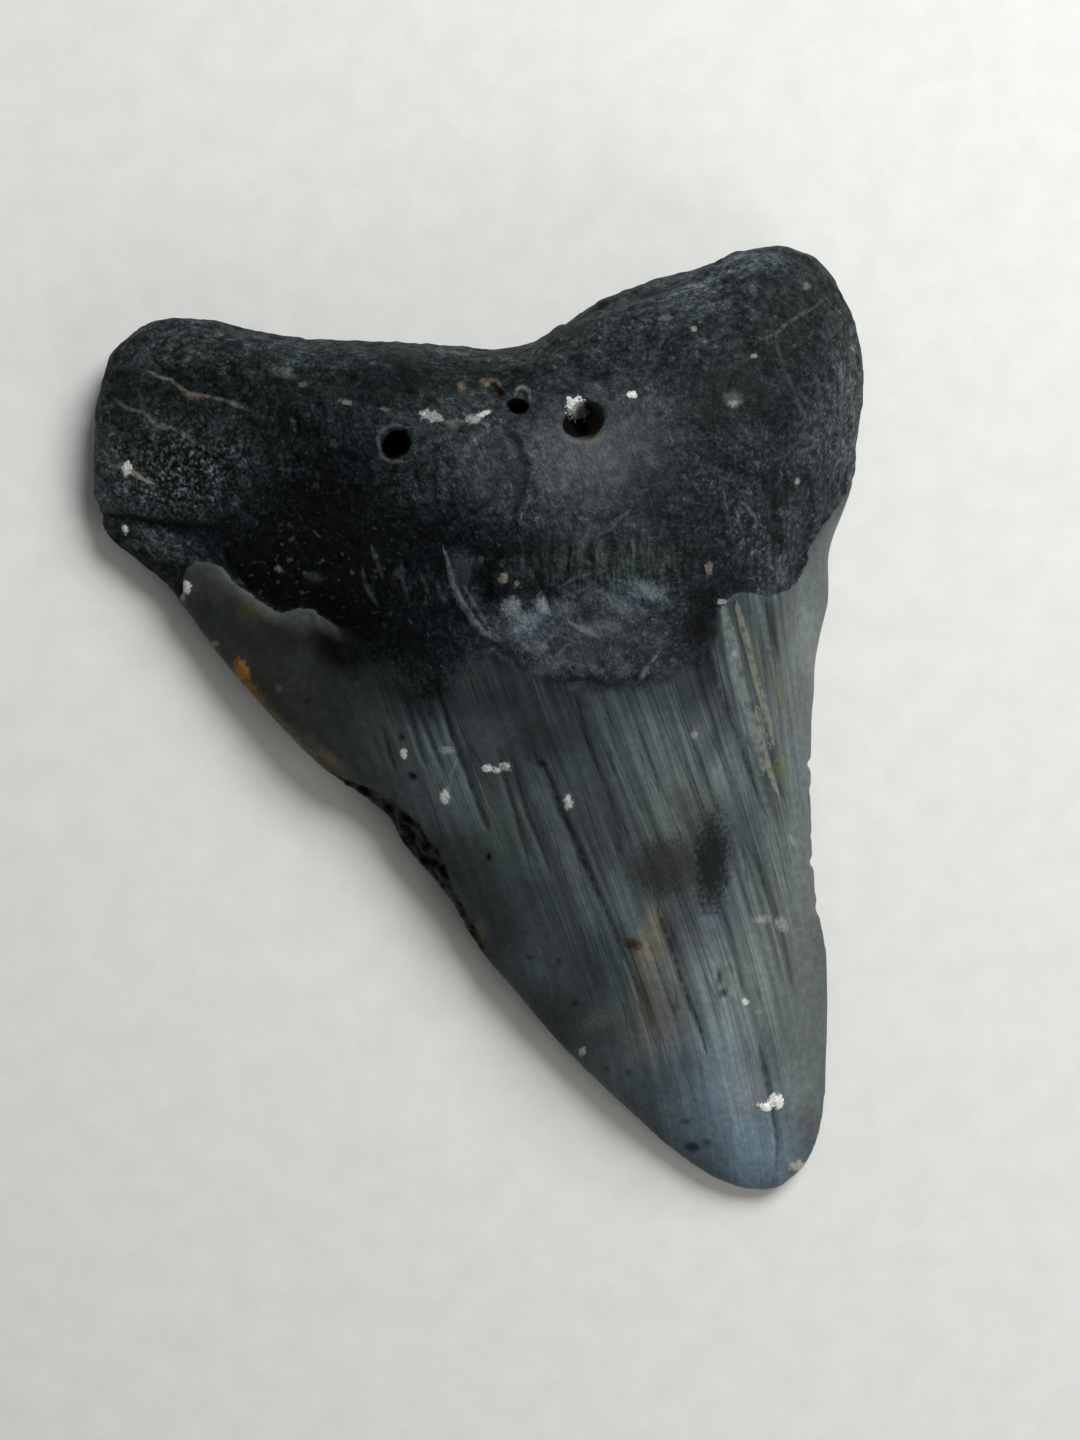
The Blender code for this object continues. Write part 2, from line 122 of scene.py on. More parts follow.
# Blue grey of stains, and also a painted reflection of the sky at the tip
BLUE_GREY = (0.1150, 0.1650, 0.2100)
# Painted glints and sheen of the glossy bourlette
GLINT = (0.1700, 0.2100, 0.2350)
ORANGE_SAND = (0.4200, 0.1900, 0.0400)
OCHRE = (0.0850, 0.0780, 0.0180)
DRY_CLAY = (0.4000, 0.4000, 0.3600)
CREAM = (0.6200, 0.5700, 0.4600)
WHITE_SAND = (0.8000, 0.8100, 0.7800)
DULL_WHITE = (0.2600, 0.2900, 0.2800)
# The sheet under the tooth, the light of the window and of the room, and the room's strength
PAPER_WHITE = (0.8, 0.805, 0.79)
PAPER_SHADE = (0.76, 0.765, 0.75)
DAYLIGHT = (0.99, 1.0, 0.985)
ROOM_LIGHT = (1.0, 0.985, 0.95)
ROOM_GLOW = 0.14

# How the dark of the tooth leans towards blue: a factor for red, green and blue
BLUE_LEAN = (0.95, 1.0, 1.04)

# Edge of the enamel from the left rim to the right one: x, y in pixels, and how far the enamel
# stands over the root in millimetres. It is negative where the bourlette stands over the enamel.
ENAMEL_EDGE = (
    (172, 606, 0.1), (181, 592, 0.2), (184, 575, 0.2), (195, 562, 0.35), (210, 560, 0.45),
    (222, 567, 0.5), (232, 580, 0.5), (245, 590, 0.45), (258, 599, 0.45), (270, 608, 0.45),
    (282, 613, 0.45), (291, 612, 0.5), (300, 608, 0.5), (314, 609, 0.5), (326, 617, 0.4),
    (340, 628, 0.15), (350, 637, 0.1), (356, 648, 0), (366, 662, 0), (380, 668, 0), (398, 672, 0),
    (412, 690, 0), (425, 700, 0), (436, 696, 0), (446, 686, 0), (456, 668, 0), (470, 660, -0.1),
    (488, 655, -0.15), (505, 662, -0.2), (525, 672, -0.12), (560, 682, -0.12), (600, 686, -0.12),
    (645, 684, -0.12), (680, 674, -0.1), (705, 660, 0.1), (713, 648, 0.2), (716, 625, 0.2),
    (719, 608, 0.2), (727, 598, 0.2), (740, 592, 0.15), (755, 594, 0.15), (768, 597, 0.15),
    (780, 594, 0.15), (795, 583, 0.15), (806, 562, 0.15), (812, 545, 0.15), (822, 528, 0.1),
    (833, 510, 0.1), (842, 497, 0.1), (870, 468, 0.1),
)
# The same edge on the lower face, from its left rim to its right one: x, y in millimetres, step
LABIAL_EDGE = (
    (-34.0, 12.0, 0.15), (-28.0, 15.0, 0.2), (-22.0, 17.6, 0.2), (-16.0, 19.6, 0.2),
    (-10.0, 23.4, 0.2), (-3.0, 26.6, 0.2), (4.0, 29.0, 0.2), (10.0, 28.2, 0.2), (16.0, 26.6, 0.2),
    (22.0, 23.2, 0.2), (27.0, 20.6, 0.2), (32.0, 19.6, 0.15), (40.0, 19.4, 0.1),
)

# Cracks of the lower face: depth, strength of the dark, then x, y, half width in millimetres
LABIAL_CRACKS = (
    (0.25, 1.0, ((2.0, 25.0, 0.2), (3.5, 14.0, 0.4), (6.0, 2.0, 0.4), (8.5, -9.0, 0.35),
        (10.0, -18.0, 0.2))),
    (0.15, 1.0, ((-14.0, 18.0, 0.2), (-9.5, 9.0, 0.3), (-4.0, -1.0, 0.3), (-0.5, -8.0, 0.2))),
    (0.15, 1.0, ((14.0, 24.0, 0.2), (15.0, 12.0, 0.3), (17.5, 0, 0.3), (18.5, -8.0, 0.2))),
    (0.12, 0.9, ((22.0, -14.0, 0.2), (22.5, -24.0, 0.3), (22.0, -34.0, 0.2))),
    (0.12, 0.9, ((-27.0, 13.5, 0.2), (-20.0, 6.0, 0.3), (-14.0, -3.0, 0.2))),
    (0.25, 1.0, ((-33.0, 31.0, 0.3), (-27.0, 27.5, 0.45), (-19.0, 26.0, 0.45), (-12.0, 28.0, 0.3))),
    (0.25, 1.0, ((35.0, 33.0, 0.3), (28.0, 31.0, 0.45), (21.0, 33.0, 0.45), (16.0, 31.0, 0.3))),
)
# Stains of the lower face: colour, strength, then x, y, half width and half length in
# millimetres, lean
LABIAL_STAINS = (
    (BROWN_STAIN, 0.7, 2, 20, 9, 5), (TAN_STAIN, 0.35, -16, 10, 4, 7, -40),
    (OCHRE, 0.3, 22, 2, 2.5, 9, -10), (BLUE_GREY, 0.35, 20, -32, 6, 10, -20),
    (STREAK_PALE, 0.35, 12, -6, 6, 16, -20), (ENAMEL_DARK, 0.6, -24, 12, 9, 4, -30),
    (ENAMEL_DARK, 0.5, 30, 12, 4, 12), (BROWN_STAIN, 0.5, -6, -2, 4, 8, -30),
)

# The outline's upper part, that the grain of the root follows: x, y in pixels
ROOT_RIM = (
    (150, 600), (108, 540), (92, 470), (100, 380), (130, 335), (190, 318), (280, 335), (400, 345),
    (515, 350), (560, 330), (640, 290), (720, 265), (775, 245), (820, 260), (848, 305), (862, 360),
    (862, 430), (848, 490), (828, 570),
)

# The crown's streaks. Each one's place across is its x in the row of pixels at STREAK_MIDDLE. It
# leans as much as the list says for that place, turns upright from STREAK_BEND down, and stands
# upright STREAK_TURN further down.
STREAK_LEAN = (
    (380, 0.37), (440, 0.38), (600, 0.38), (660, 0.34), (700, 0.31), (728, 0.27), (760, 0.2),
    (800, 0.1), (830, 0),
)
STREAK_MIDDLE = 700
STREAK_BEND = 900
STREAK_TURN = 446
# Their relief rises between these two x, and fades out over so many pixels before the right rim
RELIEF_RISE = (330, 420)
RELIEF_RIM, RELIEF_FADE = 828, 45
# Their colour rises between these two places across, fades out in the same way, and grows weak
# between these rows of pixels towards the tip
COLOUR_RISE = (300, 440)
COLOUR_RIM, COLOUR_FADE = 815, 40
COLOUR_TIP = (980, 1130)
# It is calm by the chipped rim: below these rows, and left of these places across
CALM_ROWS, CALM_PLACES = (810, 880), (510, 430)
# Ovals where the streaks are calmer and where they are stronger
CALM_OVAL = (515, 728, 75, 44)
STRONG_OVAL = (735, 700, 70, 130, -12)

# Between which x in pixels the root and the crown begin and cease to lean towards blue, the pale lip
# of the enamel with its painted highlight ceases, and the enamel's edge is crisp
ROOT_BLUE = (180, 300)
CROWN_BLUE, CROWN_BLUE_END = (300, 420), (800, 740)
LIP_END = (360, 320)
CRISP_LEFT, CRISP_RIGHT = (360, 330), (706, 722)

# Dark lines: depth in millimetres, strength of the colour, then x, y, half width in pixels
DARK_LINES = (
    (0.16, 0.9, ((436, 690, 1), (445, 715, 2), (452, 740, 2.5), (462, 765, 2.5), (472, 790, 2.5),
        (480, 812, 2), (487, 828, 1))),
    (0.05, 0.8, ((383, 730, 1), (388, 750, 2), (394, 768, 1))),
    (0.08, 0.75, ((404, 696, 1), (412, 722, 2), (418, 745, 2), (424, 762, 1))),
    (0.08, 0.75, ((418, 712, 1), (428, 735, 2), (436, 755, 2), (442, 768, 1))),
    (0.08, 0.8, ((498, 752, 1), (505, 780, 2), (512, 804, 2), (520, 834, 2), (527, 856, 1))),
    (0.08, 0.75, ((512, 762, 1), (519, 788, 2), (527, 815, 2), (540, 845, 2), (549, 870, 1))),
    (0.12, 0.9, ((541, 762, 1), (552, 785, 2.5), (560, 810, 3), (570, 831, 3), (580, 853, 3),
        (588, 872, 3), (597, 892, 2.5), (606, 912, 2.5), (615, 936, 2), (622, 958, 1))),
    (0.08, 0.8, ((576, 698, 1), (582, 725, 2), (590, 750, 2), (600, 775, 2), (610, 800, 2),
        (618, 826, 1))),
    (0.08, 0.75, ((606, 722, 1), (613, 741, 2), (621, 762, 2), (632, 790, 2), (641, 812, 1))),
    (0.05, 0.7, ((640, 735, 1), (650, 762, 2), (662, 790, 2), (670, 806, 1))),
    (0.14, 0.9, ((707, 655, 3), (713, 672, 5), (720, 692, 5), (728, 712, 3), (738, 735, 2.5),
        (745, 757, 3), (752, 776, 3), (760, 798, 2), (766, 812, 1))),
    (0.16, 0.9, ((735, 608, 2), (742, 640, 2), (750, 665, 2.5), (757, 690, 2.5), (763, 715, 2.5),
        (768, 745, 2), (776, 772, 2), (783, 796, 1))),
    (0.05, 0.7, ((765, 606, 1), (771, 630, 2), (778, 652, 1))),
    (0.1, 0.7, ((676, 686, 1), (684, 712, 2), (692, 738, 2.5), (700, 765, 2.5), (710, 790, 2.5),
        (719, 812, 2))),
    (0.12, 0.9, ((655, 898, 1), (662, 925, 2.5), (672, 951, 2.5), (682, 984, 2.5), (690, 1006, 3),
        (700, 1030, 2.5), (705, 1050, 1))),
    (0.1, 0.7, ((720, 900, 2), (730, 935, 2.5), (737, 960, 2), (742, 986, 1))),
    (0.1, 0.7, ((742, 836, 1), (757, 863, 2.5), (763, 882, 2.5), (770, 902, 2), (779, 930, 2),
        (787, 958, 2), (792, 984, 1))),
    (0.05, 0.7, ((728, 830, 1), (736, 860, 2), (743, 888, 2), (750, 914, 1))),
    (0.1, 0.7, ((760, 1050, 1), (765, 1072, 4), (770, 1096, 3), (773, 1118, 2), (777, 1142, 2),
        (776, 1168, 1))),
    (0.05, 0.7, ((620, 948, 1), (632, 972, 2), (642, 1000, 2), (650, 1024, 1))),
    (0.15, 0.9, ((350, 398, 1), (366, 402, 2), (380, 407, 2.5), (392, 406, 3), (402, 410, 1))),
    (0.22, 0.9, ((104, 516, 2), (125, 516, 2.5), (142, 521, 2.5), (168, 524, 2.5), (200, 528, 1))),
    (0.25, 1.0, ((566, 324, 1), (578, 316, 2), (592, 309, 2), (606, 305, 1))),
    (0.25, 1.0, ((626, 299, 1), (642, 293, 2.5), (656, 290, 2), (680, 284, 1), (722, 272, 0.5))),
    (0.15, 0.9, ((264, 358, 1), (272, 356, 2), (284, 355, 1))),
    (0.15, 0.8, ((290, 372, 1), (302, 374, 2.5), (316, 369, 1))),
    (0.15, 0.9, ((586, 380, 1), (597, 377, 2.5), (606, 379, 1))),
    (0.12, 0.9, ((540, 391, 1), (556, 392, 2), (570, 391, 1))),
    (0.15, 0.8, ((775, 470, 2), (772, 500, 3), (775, 530, 2.5), (776, 566, 1))),
    (0.15, 0.8, ((786, 478, 2), (788, 498, 2))),
    (0.15, 0.9, ((852, 462, 1), (846, 480, 2.5), (843, 496, 1))),
    (0.15, 0.8, ((536, 574, 1), (541, 592, 2), (548, 606, 2))),
    (0.1, 0.8, ((186, 560, 2), (182, 576, 2.5), (180, 592, 2))),
    (0.32, 0.8, ((504, 428, 2), (517, 444, 4), (524, 468, 5), (520, 494, 5), (512, 516, 3))),
    (0.12, 0.6, ((430, 448, 1), (436, 470, 2), (432, 492, 2), (424, 508, 1))),
    (0.12, 0.7, ((455, 372, 1), (470, 366, 2), (490, 364, 2), (512, 370, 1.5))),
    (0.12, 0.6, ((560, 352, 1), (580, 346, 2), (604, 344, 2), (626, 350, 1))),
    (0.1, 0.5, ((720, 452, 1), (730, 468, 2), (744, 478, 2), (756, 496, 1))),
    (0.1, 0.6, ((212, 348, 1), (226, 350, 2), (244, 352, 1.5), (262, 350, 1))),
)
# Pale scratches, strokes and streaks, and painted glints on the bourlette: height in millimetres,
# strength, colour, then x, y and half width in pixels
PALE_LINES = (
    (0.03, 0.3, DRY_CLAY, ((150, 372, 1), (162, 378, 1.3), (172, 380, 1.3), (182, 389, 1.6),
        (190, 394, 2), (204, 396, 1.8), (214, 398, 1.5), (228, 401, 2), (237, 405, 2.4),
        (248, 410, 1))),
    (0.03, 0.22, DRY_CLAY, ((116, 400, 1.5), (128, 409, 1.8), (145, 413, 1.5), (152, 421, 2),
        (160, 427, 2.2), (176, 429, 1.6), (186, 437, 1.8), (200, 445, 1.6), (216, 455, 1))),
    (0.03, 0.22, DRY_CLAY, ((96, 459, 1), (108, 464, 1.5), (120, 468, 2))),
    (0.02, 0.5, CREAM, ((128, 470, 3), (136, 474, 2.5), (144, 479, 1.5), (152, 483, 1))),
    (0, 0.25, DRY_CLAY, ((137, 541, 1), (146, 546, 2), (153, 554, 1))),
    (0.02, 0.09, DRY_CLAY, ((757, 341, 1), (768, 338, 1.6), (777, 333, 2), (784, 325, 2),
        (792, 320, 2), (801, 315, 1.6), (812, 309, 1.3), (822, 301, 1))),
    (0.03, 0.35, PINK_STAIN, ((442, 422, 1.5), (452, 424, 2), (462, 422, 1.5))),
    (0, 0.22, DULL_WHITE, ((601, 534, 1.5), (609, 528, 3.5), (617, 520, 2.5), (627, 513, 1))),
    (0, 0.22, DULL_WHITE, ((743, 502, 1), (751, 512, 2), (760, 524, 1))),
    (0.04, 0.12, DULL_WHITE, ((724, 494, 1), (725, 503, 1.8), (727, 512, 1))),
    (0.04, 0.15, DULL_WHITE, ((736, 510, 1), (738, 519, 2), (741, 528, 1))),
    # Painted glints on the glossy bourlette: the bright streaks of its lip, and the bright strokes on
    # its lower slope below them
    (0.25, 1.0, GLINT, ((445, 550, 1), (449, 565, 2.2), (452, 579, 3), (457, 592, 3.2),
        (464, 606, 3.6), (473, 620, 3.4), (484, 632, 2.6), (496, 640, 1))),
    (0.12, 0.35, GLINT, ((464, 586, 1), (470, 598, 1.8), (478, 610, 1.8), (488, 624, 1))),
    (0.08, 0.34, DULL_WHITE, ((572, 624, 1.5), (582, 629, 2.4), (592, 634, 2.4), (600, 638, 1))),
    (0.08, 0.25, DULL_WHITE, ((519, 640, 1.5), (527, 648, 2.2), (535, 653, 1.5))),
    (0.08, 0.25, DULL_WHITE, ((541, 650, 1.2), (546, 641, 2), (554, 635, 2), (562, 636, 1))),
    (0.08, 0.3, DULL_WHITE, ((556, 655, 1.5), (563, 650, 2.4), (569, 644, 1.2))),
    (0.1, 0.36, DULL_WHITE, ((638, 682, 1), (643, 674, 2.4), (650, 662, 1.6), (656, 656, 1))),
    (0.05, 0.15, DULL_WHITE, ((560, 586, 1), (571, 580, 1.8), (584, 575, 1.5))),
    (0.05, 0.15, DULL_WHITE, ((564, 596, 1), (575, 593, 1.8), (587, 587, 1))),
    (0, 0.6, DULL_WHITE, ((455, 764, 1), (451, 776, 2), (448, 788, 2.6), (446, 796, 3))),
    (0.04, 0.17, DULL_WHITE, ((363, 570, 1), (366, 584, 2), (372, 598, 2), (377, 604, 1))),
    (0.04, 0.2, DULL_WHITE, ((371, 546, 1), (375, 558, 2.2), (380, 570, 2.2), (384, 582, 1))),
    (0.03, 0.16, DULL_WHITE, ((402, 578, 2), (406, 590, 2.2), (409, 602, 1))),
    (0.03, 0.14, DULL_WHITE, ((421, 574, 1.5), (426, 586, 2), (430, 598, 1))),
    (0.03, 0.16, DULL_WHITE, ((438, 586, 1.5), (443, 598, 2.2), (450, 606, 1))),
    (0, 0.25, FIBRE_GREY, ((610, 300, 1), (650, 288, 2), (700, 272, 2), (740, 262, 1.5))),
    (0, 0.5, FIBRE_GREY, ((640, 312, 1.5), (662, 306, 2), (684, 309, 1.5), (700, 318, 1))),
    (0, 0.45, FIBRE_GREY, ((776, 345, 1.5), (781, 362, 2), (788, 380, 2), (798, 398, 2),
        (804, 420, 2), (806, 442, 1))),
    (0, 0.45, FIBRE_GREY, ((815, 372, 1.5), (820, 395, 2), (821, 420, 2), (818, 450, 2),
        (812, 478, 1.5))),
    (0, 0.4, FIBRE_GREY, ((838, 372, 1.5), (843, 400, 2), (842, 430, 2), (835, 462, 1.5))),
    (0.02, 0.85, OLIVE, ((486, 384, 1), (490, 379, 1.8), (497, 381, 1.6), (502, 388, 1))),
    (0.02, 0.3, TAN_STAIN, ((462, 392, 1), (459, 386, 1.5), (464, 381, 1.2), (470, 380, 1))),
    (0.05, 0.45, DULL_WHITE, ((515, 395, 1), (517, 389, 1.6), (523, 387, 1.8), (529, 391, 1.6),
        (530, 397, 1))),
    (0.02, 0.5, TAN_STAIN, ((572, 440, 1), (584, 442, 2.2), (596, 440, 2.4), (603, 436, 1))),
    (0.02, 0.4, TAN_STAIN, ((588, 402, 1), (597, 408, 2), (602, 418, 2), (603, 430, 1))),
    (0.02, 0.18, DULL_WHITE, ((380, 448, 1), (377, 438, 1.5), (383, 429, 1.8), (394, 424, 1.6),
        (407, 427, 1))),
    (0.02, 0.24, DULL_WHITE, ((378, 444, 1.2), (381, 454, 1.8), (390, 462, 1.8), (402, 461, 1))),
    (0.02, 0.4, TAN_STAIN, ((260, 698, 1), (274, 714, 2), (290, 732, 2.4), (306, 750, 2.4),
        (324, 768, 1.5))),
    (0, 0.5, STREAK_CREAM, ((737, 606, 2), (742, 624, 3), (747, 642, 3), (752, 660, 3), (757, 680, 3),
        (763, 700, 3), (768, 720, 2.5), (773, 742, 1.5))),
    (0, 0.6, STREAK_PALE, ((724, 612, 4), (729, 634, 6), (735, 662, 6), (742, 690, 6), (750, 716, 5),
        (757, 742, 4), (763, 768, 3))),
    (0, 0.35, STREAK_PALE, ((757, 600, 2), (763, 622, 2.5), (768, 646, 2.5), (774, 670, 2),
        (781, 700, 2), (788, 728, 1.5))),
    (0, 0.45, STREAK_CREAM, ((756, 712, 2), (760, 732, 4), (765, 752, 4), (770, 772, 3),
        (777, 792, 2))),
    (0, 0.3, STREAK_PALE, ((757, 780, 2), (765, 800, 2.5), (773, 822, 2), (782, 846, 1.5))),
)

# Grains of sand, crumbs, smears and bright blots of each colour, and painted glints on the bourlette:
# strength, soft edge in pixels, height in millimetres, then x, y, half width, half length in pixels,
# lean
MARKS = {
    WHITE_SAND: (
        (1.0, 1, 0.12, 127, 469, 5, 6.5, -20), (0.8, 1, 0.08, 125.5, 529, 2.8, 5, 15),
        (0.9, 1, 0.1, 187.5, 587, 4, 6.5), (1.0, 1, 0.1, 632.5, 394.5, 4.8, 3.4),
        (0.85, 1, 0.1, 403.6, 753.8, 3.2, 5), (0.8, 1.5, 0.1, 445, 797, 4.5, 7, 15),
        (0.85, 1, 0.1, 487, 768, 5, 3.8), (0.6, 1.5, 0.06, 496.5, 770, 4, 3),
        (0.65, 1.5, 0.08, 505.5, 766.5, 4.5, 3.5, -30), (0.8, 1.5, 0.1, 568, 802, 4.2, 7),
        (0.75, 1.5, 0.06, 709.7, 922, 4.8, 3, 20), (1.0, 1, 0.15, 766, 1107, 7, 4.4, -10),
        (0.95, 1.5, 0.15, 777, 1101.5, 6.5, 7.5, 30), (0.6, 1.5, 0.05, 745.3, 1002, 3.2, 3.2),
        (0.6, 1, 0.08, 425, 414, 5, 3, 20), (0.6, 1, 0.08, 484, 414, 7, 2.6, 25),
        (0.85, 1.5, 0.12, 576, 408, 9, 11.5, 20),
    ),
    DRY_CLAY: (
        (0.7, 1, 0.05, 184, 596, 2.5, 4), (0.5, 1, 0.03, 693.5, 328.6, 3.4, 2.4),
        (0.5, 1.5, 0.04, 694, 735, 3.4, 4), (0.45, 1.5, 0.03, 734, 654, 3, 3),
        (0.35, 2, 0, 763, 919, 9, 3.5, 8), (0.35, 2, 0, 782, 924, 5.5, 8, 20),
    ),
    STREAK_PALE: ((0.3, 4, 0, 733, 398, 8, 7), (0.45, 5, 0, 597, 1021, 16, 9, 30)),
    DULL_WHITE: (
        (0.85, 2, 0.03, 733, 403, 6, 3.5), (0.3, 2, 0, 666, 318, 5, 3), (0.3, 2, 0, 807, 286, 4, 4),
        (0.8, 2, 0.04, 446, 750.6, 7, 3.8), (0.8, 1, 0.05, 721, 602, 5, 3),
        (0.5, 1, 0.03, 517, 583, 3, 3), (0.4, 1, 0.03, 278, 568.5, 3, 3),
        (0.4, 1, 0.02, 352, 572, 3, 2.4), (0.5, 1.5, 0.02, 791.8, 839.4, 2.2, 7.5, 30),
        (0.9, 1.5, 0.1, 431, 416, 11, 5.5, -15), (0.85, 1.5, 0.1, 473, 419, 8, 4.5, 10),
        (0.45, 1, 0.03, 346, 402, 7, 2.6, -10), (0.35, 1.5, 0, 303, 384, 4, 2.5),
        (0.25, 3, 0, 282, 372, 12, 5, -15), (0.35, 1.5, 0.02, 724, 1000, 3, 3),
        (0.3, 2, 0, 733, 990, 5, 6), (0.35, 1.5, 0, 758, 1012, 4, 2.5),
    ),
    CREAM: (
        (0.4, 1, 0.03, 754, 356, 3, 2.4), (0.4, 1, 0.03, 797, 481, 2.8, 3.4),
        (0.7, 1.5, 0.06, 582.5, 1051.6, 3.6, 4.2, -30), (0.5, 1.5, 0.06, 798, 1166, 7.5, 5, 10),
        (0.4, 1.5, 0.06, 503.5, 578.6, 4.6, 5.6, -20), (0.3, 1.5, 0.03, 214.5, 643.5, 4, 3),
    ),
    BLUE_GREY: ((0.35, 2, 0, 753, 289, 3.5, 4.5), (0.4, 3, 0, 709, 923, 10, 6)),
    PINK_STAIN: (
        (1.0, 1, 0.06, 709, 568, 4, 6), (0.7, 1, 0.03, 384, 409, 6, 2, -10),
        (0.6, 1.5, 0.03, 453, 422, 8, 2.5, 5),
    ),
    PURPLE_GREY: ((1.0, 2, 0.03, 279, 688.6, 4, 4),),
    # Pale slate patches, the one on the bourlette's lip partly a painted sheen
    WORN_SLATE_AND_SHEEN: (
        (0.8, 3, 0.03, 399.6, 573, 6, 6), (0.8, 3, 0.02, 314, 577, 9, 5, -10),
        (0.8, 3, 0.03, 427, 499.5, 6, 7), (0.35, 4, 0, 217, 428, 9, 12),
        (0.7, 5, 0.03, 462, 568, 10, 16), (0.8, 4, 0.03, 462, 690, 10, 16),
        (0.6, 4, 0.03, 507, 676, 8, 8),
    ),
    LIP_GREY_AND_HIGHLIGHT: (
        (0.8, 3, 0.03, 384, 793, 6, 6), (0.35, 4, 0.03, 584, 660, 10, 9),
        (0.4, 2, 0.03, 470, 678, 7, 5),
    ),
    TAN_STAIN: (
        (0.6, 2, 0, 485, 382, 5, 3, -20), (0.4, 2, 0, 462, 387, 4, 5, 20),
        (0.45, 3, 0, 481, 929, 5, 14, 8), (0.55, 2, 0.02, 192, 396, 10, 3.5, -15),
        (0.6, 3, 0, 595, 424, 6, 13),
    ),
    RUST: ((0.5, 2, 0, 498, 391, 6, 4, -40), (0.7, 3, 0, 633, 944, 9, 5, -20)),
    CRACK_DARK: ((0.9, 9, 0, 712, 862, 17, 44, -3),),
    BROWN_STAIN: ((0.8, 12, 0, 668, 868, 32, 26),),
    ORANGE_SAND: (
        (0.7, 2, 0.06, 242, 670, 7, 11, 20), (0.45, 1.5, 0.03, 250, 686, 4, 7, 35),
        (0.3, 2, 0, 258, 697, 4, 8, 42),
    ),
    OCHRE: ((0.7, 5, 0, 249, 610.5, 11, 8),),
    OLIVE: (
        (0.5, 3, 0, 779, 690, 4, 12, 12), (0.5, 3, 0, 782, 768, 7, 14, 5),
        (0.35, 3, 0, 756, 655, 3, 26, 14),
    ),
    # Painted glints on the glossy bourlette, as bright bluish spots raised a little
    GLINT: (
        (0.9, 5, 0.2, 512, 608, 9, 10), (0.75, 5, 0.18, 527, 619, 13, 6, 10),
        (0.85, 5, 0.2, 542, 607, 8, 9, 20), (0.5, 3, 0.1, 540, 648, 7, 4, 10),
        (0.4, 5, 0.1, 558, 606, 12, 6, -20), (0.4, 5, 0.08, 512, 634, 10, 7, 30),
        (0.3, 4, 0.06, 624, 670, 9, 6, 20), (0.2, 3, 0.03, 575, 686, 8, 4, 10),
        (0.3, 5, 0.05, 545, 668, 20, 7, 15), (0.45, 6, 0.08, 645, 590, 20, 8, -15),
        (0.3, 6, 0.05, 610, 602, 22, 8, -20), (0.3, 6, 0.05, 600, 628, 20, 8, 10),
    ),
}

# Pits, dents and dark spots: depth in millimetres, strength of the dark, then x, y, half width,
# half length in pixels, lean
PITS = (
    (0.3, 0.95, 413, 776.5, 6, 4, -25), (0.2, 0.9, 400, 735.5, 4.5, 4),
    (0.25, 0.95, 488, 858, 4, 5.5), (0.12, 0.7, 429, 714, 3, 4), (0.18, 0.7, 540, 765, 9, 4.5, -10),
    (0.15, 0.6, 573, 1004, 6, 5), (0.1, 0.7, 630, 946, 10, 4.5, 15), (0.08, 0.7, 719, 978, 5, 10),
    (0.1, 0.75, 724, 994, 6, 6), (0.7, 0.95, 497, 391, 9, 7, -40), (0.4, 0.7, 489, 384, 9, 6, -30),
    (0.25, 0.6, 522, 393, 6, 5), (0.12, 0.7, 560, 391, 9, 3), (0.2, 0.9, 593, 377, 8, 4.5, 10),
    (0.12, 0.8, 606, 372, 8, 3, 20), (0.4, 0.85, 484, 594, 11, 26, -10),
    (0.12, 0.85, 347, 650, 14, 9, -10), (0.08, 0.6, 307, 702, 4, 4), (0.12, 0.8, 692, 1147, 9, 6),
    (0.08, 0.5, 706, 1142, 6, 5), (0.15, 0.7, 835, 437, 4, 7), (0.15, 0.8, 768, 488, 8, 9),
    (0.12, 0.7, 785, 500, 6, 8), (0.1, 0.6, 596, 521, 5, 5), (0.2, 0.9, 179, 588, 6, 13, 12),
    (0.08, 0.5, 352, 676, 7, 6), (0.1, 0.7, 430, 690, 12, 12), (0.1, 0.6, 812, 800, 5, 7),
    (0.12, 0.8, 812, 456, 5, 7), (0.12, 0.7, 663, 360, 9, 8), (0.1, 0.6, 716, 362, 7, 4),
    (0.1, 0.6, 780, 306, 5, 5), (0.1, 0.6, 630, 366, 6, 5), (0.1, 0.6, 610, 395, 5, 6),
    (0.18, 0.9, 648, 293, 10, 3, 12), (0.12, 0.8, 617, 301, 6, 3, 10), (0.1, 0.8, 726, 268, 6, 3, 10),
    (0.12, 0.8, 297, 373, 9, 4, 10), (0.12, 0.8, 340, 356, 8, 3), (0.1, 0.8, 272, 357, 10, 2.5, 5),
    (0.1, 0.7, 345, 412, 6, 4), (0.1, 0.7, 118, 412, 6, 5), (0.2, 0.9, 532, 590, 3.5, 17, -6),
    (0.15, 0.8, 505, 600, 4, 8, 20), (0.08, 0.5, 466, 962, 6, 4), (0.08, 0.5, 530, 958, 5, 4),
    (0.08, 0.5, 558, 961, 5, 4), (0.08, 0.5, 628, 1072, 5, 4), (0.08, 0.5, 606, 1068, 4, 4),
    (0.06, 0.5, 685, 1122, 7, 5), (0.1, 0.6, 355, 820, 3, 2),
)

